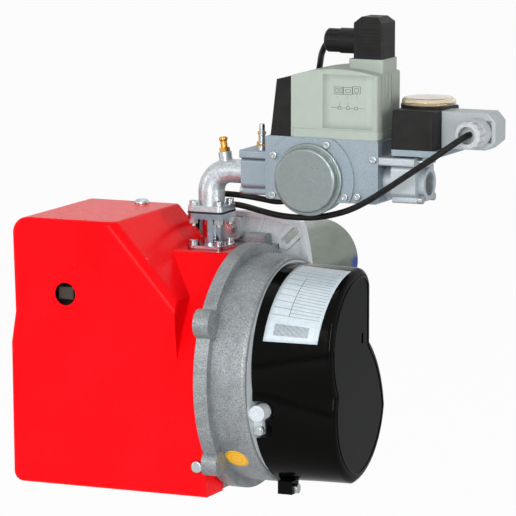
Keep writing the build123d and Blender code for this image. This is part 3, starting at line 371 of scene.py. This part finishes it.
def zinc_sheet():
    """Hot-dipped sheet of the blast tube: spangle, greenish sheen and one blued patch."""
    made = Finish("zinc_sheet", 0.3, metallic=1.0, edge=0.3)
    spangle = made.crystals(6.0, made.placed(stretch=(1, 0.55, 1)))
    streak = made.grain(30, 3, 0.6, made.placed(stretch=(1, 0.2, 1)))
    tone = made.blend(made.spread(spangle, 0, 1), paint(106, 116, 107), paint(118, 128, 118))
    tone = made.blend(made.spread(streak, 0, 0.7, 0.4, 0.75), tone, paint(84, 93, 76))
    patch = made.near((45, 203, -4), 15)
    blued = made.maths("MULTIPLY", patch, made.spread(streak, 0.6, 1.2, 0.3, 0.7))
    made.colour(made.blend(made.spread(blued, 0, 1, 0.08, 0.45), tone, paint(38, 74, 160)))
    made.roughness(made.spread(spangle, 0.24, 0.36))
    return made.relief(made.grain(1.2, 2, 0.5), 0.015)


def chrome_plate():
    made = Finish("chrome_plate", 0.09, metallic=1.0, edge=0.3)
    smear = made.grain(6, 3, 0.6)
    share = made.spread(smear, 0, 1, 0.35, 0.7)
    made.colour(made.blend(share, paint(190, 198, 208), paint(160, 170, 184)))
    made.roughness(made.spread(smear, 0.07, 0.18, 0.35, 0.75))
    return made.relief(made.grain(10, 1, 0.4), 0.03)


def zinc_screw():
    return machined("zinc_screw", paint(190, 196, 198), 0.26)


def pressed_lid():
    """Zinc-plated pressed lid of the diaphragm housing, cloudy and softly brushed."""
    made = Finish("pressed_lid", 0.34, metallic=0.8, edge=0.5)
    cloud = made.grain(7, 4, 0.65, twist=0.6)
    share = made.spread(cloud, 0, 1, 0.32, 0.7)
    made.colour(made.blend(share, paint(146, 156, 155), paint(124, 133, 132)))
    made.roughness(made.spread(cloud, 0.26, 0.42, 0.3, 0.7))
    return made.relief(made.grain(5, 3, 0.55), 0.05)


def dark_steel():
    return machined("dark_steel", paint(112, 112, 114), 0.38)


def brass_turned():
    made = machined("brass_turned", paint(214, 160, 74), 0.24)
    return made.relief(made.bands(0.7, made.placed(), "Z"), 0.05)


def lamination():
    """Stacked electrical sheet with dark joints along X."""
    made = Finish("lamination", 0.42, metallic=0.9, edge=0)
    sheet = made.bands(1.0, made.placed())
    made.colour(made.blend(sheet, paint(66, 68, 72), paint(124, 127, 132)))
    return made.relief(sheet, 0.08)


def copper_winding():
    made = Finish("copper_winding", 0.3, metallic=0.7, coat=0.4, edge=0)
    wire = made.bands(0.9, made.placed((0, *FAN_AXIS), (0, 35, 0)))
    made.colour(made.blend(wire, paint(96, 40, 18), paint(196, 104, 52)))
    return made.relief(wire, 0.2)


def glazed_ceramic():
    return moulded("glazed_ceramic", paint(232, 228, 218), 0.2, grain=0.9, depth=0.01,
                   fleck=0.05, coat=0.5)


def coil_housing_plastic():
    return moulded("coil_housing_plastic", paint(164, 173, 163), 0.46, 0.2, grain=0.3, depth=0.02,
                   fleck=0.025)


def plug_grey_plastic():
    return moulded("plug_grey_plastic", paint(170, 177, 180), 0.4, 0.25, grain=0.35, depth=0.03,
                   fleck=0.04)


def black_plastic():
    return moulded("black_plastic", paint(30, 30, 29), 0.44, 0.12, grain=0.5, depth=0.05,
                   fleck=0.2)


def gland_plastic():
    """Black gland on the valve's plug, light grey gland on the switch's plug."""
    made = Finish("gland_plastic", 0.4, specular=0.15, edge=0.4)
    side = made.maths("GREATER_THAN", made.channel(made.where), GLAND_SPLIT_X)
    cloud = made.spread(made.grain(3, 3, 0.6), 0, 1, 0.3, 0.7)
    black = made.blend(cloud, paint(20, 19, 19), paint(34, 32, 31))
    grey = made.blend(cloud, paint(172, 175, 178), paint(194, 197, 200))
    made.colour(made.blend(side, black, grey))
    return made.relief(made.grain(0.5, 2, 0.5), 0.04)


def lead_sheath():
    """Black flexible sheath with a faint drawn grain and a dull bloom."""
    made = Finish("lead_sheath", 0.42, specular=0.15, edge=0)
    bloom = made.grain(7, 3, 0.6)
    share = made.spread(bloom, 0, 1, 0.35, 0.75)
    made.colour(made.blend(share, paint(13, 13, 13), paint(31, 31, 32)))
    made.roughness(made.spread(bloom, 0.34, 0.5, 0.3, 0.7))
    return made.relief(made.grain(0.9, 3, 0.6), 0.05)


def gasket_rubber():
    return moulded("gasket_rubber", paint(24, 23, 22), 0.7, 0.3, grain=0.6, depth=0.05,
                   fleck=0.3)


def dial_plastic():
    return moulded("dial_plastic", paint(222, 196, 152), 0.4, grain=0.5, depth=0.02, fleck=0.06)


def smoked_plastic():
    return moulded("smoked_plastic", paint(58, 52, 46), 0.2, grain=1.0, depth=0.02, fleck=0.2)


def clear_plastic():
    """Clear lid, a little yellowed, with a few fine scratches."""
    made = Finish("clear_plastic", 0.08, edge=0.4)
    made.shader.inputs["Transmission Weight"].default_value = 0.9
    made.shader.inputs["IOR"].default_value = 1.3
    haze = made.grain(10, 3, 0.6)
    share = made.spread(haze, 0, 1, 0.3, 0.7)
    made.colour(made.blend(share, paint(244, 232, 208), paint(250, 243, 228)))
    scratches = made.grain(0.6, 2, 0.5, made.placed(stretch=(1, 8, 1)))
    made.roughness(made.spread(scratches, 0.05, 0.16, 0.4, 0.8))
    return made.relief(haze, 0.02)


FINISHES = {
    drum_casting: ["fan_housing", "intake_box", "head_cover", "gas_manifold"],
    flange_casting: ["mounting_flange", "motor_plate"],
    valve_casting: ["valve_body", "outlet_flange", "switch_base", "motor_bell"],
    bright_casting: ["inlet_flange"],
    elbow_casting: ["elbow"],
    red_paint: ["front_cover"],
    black_lacquer: ["motor_shroud"],
    zinc_sheet: ["blast_tube", "diffuser_disc", "scroll_liner", "inlet_cone", "fan_wheel",
                 "back_plate", "air_damper", "electrode_holder"],
    chrome_plate: ["gas_riser"],
    zinc_screw: ["flange_clamp_bolt", "wheel_screw", "shroud_screws", "cover_screws", "riser_bolts",
                 "riser_nuts", "valve_screws", "port_bolts", "vent_cap"],
    pressed_lid: ["diaphragm_cover"],
    dark_steel: ["rotor", "motor_bearings", "gas_head", "electrode_wires"],
    lamination: ["motor_core"],
    copper_winding: ["motor_windings"],
    brass_turned: ["test_nipples"],
    glazed_ceramic: ["electrode_ceramics"],
    coil_housing_plastic: ["solenoid_cover"],
    plug_grey_plastic: ["switch_plug", "motor_capacitor", "air_pressure_switch"],
    black_plastic: ["solenoid_end_cap", "valve_plug", "switch_box", "control_box", "control_base",
                    "ignition_transformer"],
    gland_plastic: ["cable_glands"],
    gasket_rubber: ["riser_gasket", "cable_grommets"],
    dial_plastic: ["switch_dial", "air_switch_dial"],
    smoked_plastic: ["reset_button"],
    clear_plastic: ["switch_lid"],
}


def dress_frame():
    """Gives every CAD node its finish."""
    for make, names in FINISHES.items():
        made = make().material
        for name in names:
            for place in nodes[name].material_slots:
                place.material = made


# Leads

def lead(name, route, node):
    """A round lead as one smooth curve that replaces its CAD tube."""
    curve = bpy.data.curves.new(name, "CURVE")
    curve.dimensions = "3D"
    curve.bevel_depth = LEAD_DIAMETER / 2 * MM
    curve.bevel_resolution = 6
    curve.resolution_u = 8
    curve.use_fill_caps = True
    spline = curve.splines.new("NURBS")
    spline.points.add(len(route) - 1)
    for point, place in zip(spline.points, route):
        point.co = (*mm(*place), 1.0)
    spline.order_u = 3
    spline.use_endpoint_u = True
    piece = bpy.data.objects.new(name, curve)
    bpy.context.scene.collection.objects.link(piece)
    curve.materials.append(SHEATH)
    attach(piece, "burner")
    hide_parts(node)
    return piece


# Plates that follow the surface they are stuck to

def surface(name):
    """A CAD node's mesh, ready for finding points on it."""
    mesh = nodes[name].data
    corners = [v.co.copy() for v in mesh.vertices]
    return BVHTree.FromPolygons(corners, [tuple(p.vertices) for p in mesh.polygons])


def outer_point(shell, centre, outward):
    """Where a ray that comes in from outside towards centre meets the shell, and the normal there."""
    point, normal, _, _ = shell.ray_cast(centre + outward * OUTSIDE, -outward)
    return point, normal


def new_piece(name, mesh, material, body="burner", smooth=True):
    mesh.materials.clear()
    mesh.materials.append(material)
    for face in mesh.polygons:
        face.use_smooth = smooth
    piece = bpy.data.objects.new(name, mesh)
    bpy.context.scene.collection.objects.link(piece)
    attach(piece, body)
    return piece


def stuck_sheet(name, rows, columns, place, thickness, material, keep=None):
    """A thin closed sheet on a carrier.

    place(u, v) gives a point on the carrier and its normal, and keep(u, v) bends the
    square grid to the sheet's outline.
    """
    form = bmesh.new()
    map_layer = form.loops.layers.uv.new("sheet")
    top, low, at = {}, {}, {}
    for i in range(rows + 1):
        for j in range(columns + 1):
            u, v = j / columns, i / rows
            u, v = keep(u, v) if keep else (u, v)
            point, normal = place(u, v)
            top[i, j] = form.verts.new(point + normal * (thickness * MM))
            low[i, j] = form.verts.new(point + normal * (FOIL_GLUE * MM))
            at[top[i, j]] = at[low[i, j]] = (u, v)
    for i in range(rows):
        for j in range(columns):
            corners = [(i, j), (i, j + 1), (i + 1, j + 1), (i + 1, j)]
            form.faces.new([top[c] for c in corners])
            form.faces.new([low[c] for c in reversed(corners)])
    rim = [(0, j) for j in range(columns)] + [(i, columns) for i in range(rows)]
    rim += [(rows, j) for j in range(columns, 0, -1)] + [(i, 0) for i in range(rows, 0, -1)]
    for a, b in zip(rim, rim[1:] + rim[:1]):
        form.faces.new([top[b], top[a], low[a], low[b]])
    bmesh.ops.remove_doubles(form, verts=form.verts, dist=1e-7)
    bmesh.ops.recalc_face_normals(form, faces=form.faces)
    for face in form.faces:
        for loop in face.loops:
            loop[map_layer].uv = at.get(loop.vert, (0, 0))
    mesh = bpy.data.meshes.new(name)
    form.to_mesh(mesh)
    form.free()
    return new_piece(name, mesh, material)


def plate_paper():
    """White foil plate with a plain ruled table and a block of even bars; no words."""
    made = Finish("plate_paper", 0.3, specular=0.5, coat=0.2, edge=0)
    across, up = made.sheet_map()
    left, post, right = 0.05, 0.37, 0.95
    table_low, table_high, head_low, head_high = 0.24, 0.72, 0.76, 0.93

    def both(a, b):
        return made.maths("MULTIPLY", a, b)

    def ruled(value, pitch, width, start=0.0):
        """Lines pitch apart, each as wide as a share of the pitch."""
        shifted = made.maths("SUBTRACT", value, start)
        step = made.maths("FRACT", made.maths("DIVIDE", shifted, pitch))
        return made.maths("LESS_THAN", step, width)
    inside = both(made.within(across, left, right), made.within(up, table_low, head_high))
    narrow = both(ruled(up, 0.036, 0.1, table_low), made.within(across, post, right))
    wide = both(ruled(up, 0.072, 0.05, table_low), made.within(across, left, post))
    rows = both(inside, made.maths("MAXIMUM", narrow, wide))
    rows = both(rows, made.maths("LESS_THAN", up, table_high))
    posts = both(made.within(across, 0.366, 0.376), made.within(up, table_low, table_high))
    head = both(inside, made.maths("GREATER_THAN", up, head_low))
    head = both(head, ruled(up, 0.055, 0.06, head_low))
    posts = made.maths("ADD", posts, head)
    bars = both(made.within(across, 0.16, 0.8), made.within(up, 0.055, 0.16))
    bars = both(bars, ruled(across, 0.022, 0.5))
    ink = made.maths("ADD", rows, made.maths("ADD", posts, bars))
    ink = made.maths("MINIMUM", ink, 1.0)
    cloud = made.spread(made.grain(5, 3, 0.6), 0, 1, 0.3, 0.7)
    paper = made.blend(cloud, paint(188, 200, 206), paint(202, 213, 218))
    made.colour(made.blend(ink, paper, paint(70, 74, 80)))
    made.roughness(made.spread(made.grain(3, 2, 0.5), 0.26, 0.36, 0.3, 0.7))
    return made.material


def sticker_paper():
    """Plain yellow sticker with two thin darker rings."""
    made = Finish("sticker_paper", 0.4, specular=0.4, edge=0)
    centred = made.node("ShaderNodeVectorMath", operation="SUBTRACT")
    made.feed(centred.inputs[0], made.node("ShaderNodeUVMap", uv_map="sheet").outputs[0])
    centred.inputs[1].default_value = (0.5, 0.5, 0)
    length = made.node("ShaderNodeVectorMath", operation="LENGTH")
    made.feed(length.inputs[0], centred.outputs[0])

    def ring(radius, half_width):
        away = made.maths("SUBTRACT", length.outputs["Value"], radius)
        return made.maths("LESS_THAN", made.maths("ABSOLUTE", away), half_width)
    rings = made.maths("MAXIMUM", ring(0.44, 0.014), ring(0.25, 0.008))
    cloud = made.spread(made.grain(4, 3, 0.6), 0, 1, 0.3, 0.7)
    tone = made.blend(cloud, paint(236, 176, 20), paint(246, 190, 34))
    made.colour(made.blend(rings, tone, paint(186, 128, 22)))
    return made.relief(made.grain(2.5, 2, 0.5), 0.03).material


def shroud_plate():
    """The rating plate wraps the shroud's upper lobe, from its crown down its front."""
    shell = surface("motor_shroud")

    def place(u, v):
        left = PLATE_LOW[0] + (PLATE_HIGH[0] - PLATE_LOW[0]) * v
        right = PLATE_LOW[1] + (PLATE_HIGH[1] - PLATE_LOW[1]) * v
        x = left + (right - left) * u
        angle = math.radians(PLATE_ANGLES[1] + (PLATE_ANGLES[0] - PLATE_ANGLES[1]) * v)
        return outer_point(shell, mm(x, *PLATE_CENTRE), spoke(angle))
    return stuck_sheet("rating_plate", 28, 10, place, PLATE_THICKNESS, plate_paper())


def coil_foil():
    """Foil in the housing's own tone with a plain line scheme of boxes and pipes; no words."""
    made = Finish("coil_foil", 0.42, specular=0.2, edge=0)
    across, up = made.sheet_map()
    line = 0.009
    # Left, right, low and high edges, as shares of the foil
    frames = [(0.22, 0.40, 0.64, 0.78), (0.40, 0.58, 0.64, 0.78), (0.58, 0.74, 0.66, 0.80),
              (0.25, 0.31, 0.67, 0.75), (0.33, 0.38, 0.67, 0.75), (0.44, 0.54, 0.68, 0.74),
              (0.62, 0.70, 0.69, 0.77), (0.30, 0.36, 0.36, 0.42), (0.46, 0.52, 0.36, 0.42),
              (0.62, 0.68, 0.36, 0.42)]
    pipes = [(0.16, 0.30, 0.387, 0.394), (0.36, 0.46, 0.387, 0.394), (0.52, 0.62, 0.387, 0.394),
             (0.68, 0.82, 0.387, 0.394), (0.33, 0.336, 0.42, 0.50), (0.488, 0.494, 0.42, 0.50),
             (0.28, 0.284, 0.56, 0.64), (0.48, 0.484, 0.56, 0.64), (0.66, 0.664, 0.56, 0.66)]

    def block(left, right, low, high):
        return made.maths("MULTIPLY", made.within(across, left, right), made.within(up, low, high))

    def outline(left, right, low, high):
        return made.maths("SUBTRACT", block(left, right, low, high),
                          block(left + line, right - line, low + line, high - line))
    ink = 0.0
    for shape in [outline(*edges) for edges in frames] + [block(*edges) for edges in pipes]:
        ink = made.maths("MAXIMUM", ink, shape)
    cloud = made.spread(made.grain(6, 3, 0.6), 0, 1, 0.3, 0.7)
    tone = made.blend(cloud, paint(164, 173, 163), paint(168, 177, 167))
    made.colour(made.blend(ink, tone, paint(84, 90, 86)))
    return made.material


def coil_plate():
    """Foil on the coil housing's front, right of its parting line."""
    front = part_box("solenoid_cover")[0].y + COIL_FRONT_INSET * MM
    corner_x, corner_z = COIL_FOIL_CORNER
    width, height = COIL_FOIL_SIZE

    def place(u, v):
        point = mm(corner_x + width * u, 0, corner_z + height * v)
        point.y = front
        return point, Vector((0, -1, 0))
    return stuck_sheet("coil_plate", 6, 6, place, FOIL_THICKNESS, coil_foil())


def shroud_bead():
    """Moulded bead that runs round the shroud's end panel, a little inside its edge."""
    shell = surface("motor_shroud")
    face_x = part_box("motor_shroud")[1].x
    centre = mm(0, *BEAD_CENTRE)
    centre.x = face_x - 4 * MM
    turns = [math.tau * k / BEAD_STEPS for k in range(BEAD_STEPS)]
    rim = [outer_point(shell, centre, spoke(angle))[0] for angle in turns]
    line = []
    for k, point in enumerate(rim):
        along = (rim[(k + 2) % BEAD_STEPS] - rim[k - 2]).normalized()
        inward = Vector((0, -along.z, along.y))
        line.append(point + inward * (BEAD_INSET * MM))
    curve = bpy.data.curves.new("shroud_bead", "CURVE")
    curve.dimensions = "3D"
    curve.bevel_depth = BEAD_RADIUS * MM
    curve.bevel_resolution = 3
    curve.resolution_u = 2
    spline = curve.splines.new("NURBS")
    spline.points.add(BEAD_STEPS - 1)
    for point, place in zip(spline.points, line):
        point.co = (face_x - BEAD_DEPTH * MM, place.y, place.z, 1.0)
    spline.order_u = 4
    spline.use_cyclic_u = True
    holder = bpy.data.objects.new("shroud_bead_line", curve)
    bpy.context.scene.collection.objects.link(holder)
    graph = bpy.context.evaluated_depsgraph_get()
    mesh = bpy.data.meshes.new_from_object(holder.evaluated_get(graph))
    bpy.data.objects.remove(holder)
    lacquer = bpy.data.materials["black_lacquer"]
    return new_piece("shroud_bead", mesh, lacquer)


def drum_sticker():
    """The oval sticker low on the drum's front."""
    drum = surface("fan_housing")

    def place(u, v):
        angle = math.radians(STICKER_ANGLE + (0.5 - v) * 2 * STICKER_HALF_ANGLE)
        centre = mm(STICKER_X + (u - 0.5) * 2 * STICKER_HALF_X, *FAN_AXIS)
        return outer_point(drum, centre, spoke(angle))

    def oval(u, v):
        """Squeezes the square grid into a disc."""
        a, b = 2 * u - 1, 2 * v - 1
        x, y = a * math.sqrt(1 - b * b / 2), b * math.sqrt(1 - a * a / 2)
        return 0.5 + x / 2, 0.5 + y / 2
    return stuck_sheet("drum_sticker", 14, 14, place, FOIL_THICKNESS, sticker_paper(), keep=oval)


# What repeats: bars set on a ring or in a row

def tree_input(tree, name, kind, value=None):
    """A named input of a geometry tree, with its first value."""
    socket = tree.interface.new_socket(name, in_out="INPUT", socket_type=kind)
    if value is not None:
        socket.default_value = value


def pattern_tree(name, build):
    """A geometry tree with named sizes; build adds the nodes and returns the bars' geometry."""
    tree = bpy.data.node_groups.new(name, "GeometryNodeTree")
    tree_input(tree, "Count", "NodeSocketInt", 12)
    tree_input(tree, "Reach", "NodeSocketFloat", 0.01)
    tree_input(tree, "Bar size", "NodeSocketVector", (0.001, 0.001, 0.001))
    tree_input(tree, "Place", "NodeSocketVector", (0.0, 0.0, 0.0))
    tree_input(tree, "Turn", "NodeSocketVector", (0.0, 0.0, 0.0))
    tree_input(tree, "Finish", "NodeSocketMaterial")
    tree.interface.new_socket("Geometry", in_out="OUTPUT", socket_type="NodeSocketGeometry")
    sizes, out = tree.nodes.new("NodeGroupInput"), tree.nodes.new("NodeGroupOutput")
    link = tree.links.new
    bar = tree.nodes.new("GeometryNodeMeshCube")
    link(sizes.outputs["Bar size"], bar.inputs["Size"])
    placed = tree.nodes.new("GeometryNodeInstanceOnPoints")
    points, turn = build(tree, sizes, link)
    link(points, placed.inputs["Points"])
    link(bar.outputs["Mesh"], placed.inputs["Instance"])
    if turn is not None:
        link(turn, placed.inputs["Rotation"])
    real = tree.nodes.new("GeometryNodeRealizeInstances")
    link(placed.outputs["Instances"], real.inputs["Geometry"])
    moved = tree.nodes.new("GeometryNodeTransform")
    link(real.outputs["Geometry"], moved.inputs["Geometry"])
    link(sizes.outputs["Place"], moved.inputs["Translation"])
    link(sizes.outputs["Turn"], moved.inputs["Rotation"])
    painted = tree.nodes.new("GeometryNodeSetMaterial")
    link(moved.outputs["Geometry"], painted.inputs["Geometry"])
    link(sizes.outputs["Finish"], painted.inputs["Material"])
    link(painted.outputs["Geometry"], out.inputs["Geometry"])
    return tree


def ring_of_bars(tree, sizes, link):
    """Count bars on a circle of radius Reach about Z, each turned to face outwards."""
    circle = tree.nodes.new("GeometryNodeMeshCircle")
    link(sizes.outputs["Count"], circle.inputs["Vertices"])
    link(sizes.outputs["Reach"], circle.inputs["Radius"])
    index = tree.nodes.new("GeometryNodeInputIndex")
    share = tree.nodes.new("ShaderNodeMath")
    share.operation = "DIVIDE"
    link(index.outputs[0], share.inputs[0])
    link(sizes.outputs["Count"], share.inputs[1])
    angle = tree.nodes.new("ShaderNodeMath")
    angle.operation = "MULTIPLY"
    link(share.outputs[0], angle.inputs[0])
    angle.inputs[1].default_value = math.tau
    turn = tree.nodes.new("ShaderNodeCombineXYZ")
    link(angle.outputs[0], turn.inputs["Z"])
    return circle.outputs["Mesh"], turn.outputs[0]


def row_of_bars(tree, sizes, link):
    """Count bars in a row along Z, Reach apart."""
    line = tree.nodes.new("GeometryNodeMeshLine")
    link(sizes.outputs["Count"], line.inputs["Count"])
    step = tree.nodes.new("ShaderNodeCombineXYZ")
    link(sizes.outputs["Reach"], step.inputs["Z"])
    link(step.outputs[0], line.inputs["Offset"])
    return line.outputs["Mesh"], None


def bars(name, tree, count, reach, size, place, material, rounding, body="burner", turn=(0, 0, 0)):
    """Runs a pattern tree with these sizes, in millimetres and degrees, and keeps its mesh."""
    carrier = bpy.data.objects.new(name + "_pattern", bpy.data.meshes.new(name + "_pattern"))
    bpy.context.scene.collection.objects.link(carrier)
    modifier = carrier.modifiers.new("pattern", "NODES")
    modifier.node_group = tree
    values = {
        "Count": count, "Reach": reach * MM, "Bar size": mm(*size), "Place": mm(*place),
        "Turn": [math.radians(a) for a in turn], "Finish": material,
    }
    for item in tree.interface.items_tree:
        if item.in_out == "INPUT":
            modifier[item.identifier] = values[item.name]
    bevel = carrier.modifiers.new("rounded", "BEVEL")
    bevel.width = rounding * MM
    bevel.segments = 2
    bevel.limit_method = "ANGLE"
    graph = bpy.context.evaluated_depsgraph_get()
    mesh = bpy.data.meshes.new_from_object(carrier.evaluated_get(graph), depsgraph=graph)
    carrier.modifiers.clear()
    bpy.data.objects.remove(carrier)
    mesh.name = name
    return new_piece(name, mesh, material, body, smooth=False)


def repeated_detail():
    """Ticks of the dials, ribs of the plugs and the knurl of the vent's nipple."""
    ring = pattern_tree("ring_of_bars", ring_of_bars)
    row = pattern_tree("row_of_bars", row_of_bars)
    ink = moulded("dial_ink", paint(40, 38, 36), 0.5, fleck=0.2, edge=0).material
    black = bpy.data.materials["black_plastic"]
    grey = bpy.data.materials["plug_grey_plastic"]
    brass = bpy.data.materials["brass_turned"]
    # Name, pattern, count, reach, bar size, place, finish and rounding
    bars("gas_dial_ticks", ring, 30, 16.8, (2.6, 0.5, 0.3), (237, -66, 215.05), ink, 0.05,
         body="dial_body")
    bars("air_dial_ticks", ring, 16, 7.4, (1.6, 0.4, 0.2), (-62, -104.55, -110), ink, 0.04,
         body="air_dial_body", turn=(90, 0, 0))
    bars("valve_plug_ribs", row, 8, 3.6, (0.7, 30, 1.5), (195.6, -76, 265.0), black, 0.3)
    bars("switch_plug_ribs", row, 7, 3.2, (9, 0.7, 1.2), (279, -88.1, 179.6), grey, 0.3)
    bars("vent_nipple_knurl", ring, 18, 3.05, (0.5, 0.5, 3.0), (60, -90, 164), brass, 0.1)


# Studio

def soft_light(name, place, size, power):
    """A rectangular lamp that faces the burner."""
    lamp = bpy.data.lights.new(name, "AREA")
    lamp.shape = "RECTANGLE"
    lamp.size, lamp.size_y = size
    lamp.energy = power
    holder = bpy.data.objects.new(name, lamp)
    holder.location = place
    holder.rotation_mode = "QUATERNION"
    facing = Vector(LIGHT_TARGET) - Vector(place)
    holder.rotation_quaternion = facing.to_track_quat("-Z", "Y")
    bpy.context.scene.collection.objects.link(holder)


def make_world():
    """White where the camera, gloss and glass see it, and a soft grey fill for the rest."""
    world = bpy.data.worlds.new("studio")
    world.use_nodes = True
    bpy.context.scene.world = world
    tree = world.node_tree
    tree.nodes.clear()
    out = tree.nodes.new("ShaderNodeOutputWorld")
    path = tree.nodes.new("ShaderNodeLightPath")
    seen = path.outputs["Is Camera Ray"]
    for kind in ("Is Glossy Ray", "Is Transmission Ray"):
        either = tree.nodes.new("ShaderNodeMath")
        either.operation = "MAXIMUM"
        tree.links.new(seen, either.inputs[0])
        tree.links.new(path.outputs[kind], either.inputs[1])
        seen = either.outputs[0]
    fill, white = tree.nodes.new("ShaderNodeBackground"), tree.nodes.new("ShaderNodeBackground")
    fill.inputs["Color"].default_value = (0.95, 0.97, 1.0, 1)
    fill.inputs["Strength"].default_value = 0.45
    white.inputs["Color"].default_value = (1, 1, 1, 1)
    white.inputs["Strength"].default_value = 1.0
    mix = tree.nodes.new("ShaderNodeMixShader")
    tree.links.new(seen, mix.inputs[0])
    tree.links.new(fill.outputs[0], mix.inputs[1])
    tree.links.new(white.outputs[0], mix.inputs[2])
    tree.links.new(mix.outputs[0], out.inputs["Surface"])


def make_floor():
    """A pale floor well below the burner, which hangs from its flange."""
    made = Finish("pale_floor", 0.7, edge=0)
    cloud = made.spread(made.grain(40, 2, 0.5), 0, 1, 0.3, 0.7)
    made.colour(made.blend(cloud, paint(250, 250, 250), paint(255, 255, 255)))
    glow = made.node("ShaderNodeEmission")
    glow.inputs["Strength"].default_value = 1.0
    path = made.node("ShaderNodeLightPath")
    mix = made.node("ShaderNodeMixShader")
    out = made.tree.nodes["Material Output"]
    made.feed(mix.inputs[0], made.maths("MULTIPLY", path.outputs["Is Camera Ray"], 0.94))
    made.feed(mix.inputs[1], made.shader.outputs[0])
    made.feed(mix.inputs[2], glow.outputs[0])
    made.feed(out.inputs["Surface"], mix.outputs[0])
    mesh = bpy.data.meshes.new("floor")
    corners = [(-1, -1), (1, -1), (1, 1), (-1, 1)]
    points = [(x * FLOOR_REACH, y * FLOOR_REACH, FLOOR_LEVEL) for x, y in corners]
    mesh.from_pydata(points, [], [(0, 1, 2, 3)])
    mesh.materials.append(made.material)
    floor = bpy.data.objects.new("floor", mesh)
    bpy.context.scene.collection.objects.link(floor)


def light_studio():
    make_world()
    make_floor()
    for name, (place, size, power) in LIGHTS.items():
        soft_light(name, place, size, power)
    bpy.context.scene.view_settings.view_transform = "Standard"


make_camera()
SHEATH = lead_sheath().material
lead("switch_cable", SWITCH_ROUTE, "switch_lead")
lead("valve_cable", VALVE_ROUTE, "valve_lead")
dress_frame()
shroud_plate()
drum_sticker()
coil_plate()
shroud_bead()
repeated_detail()
light_studio()
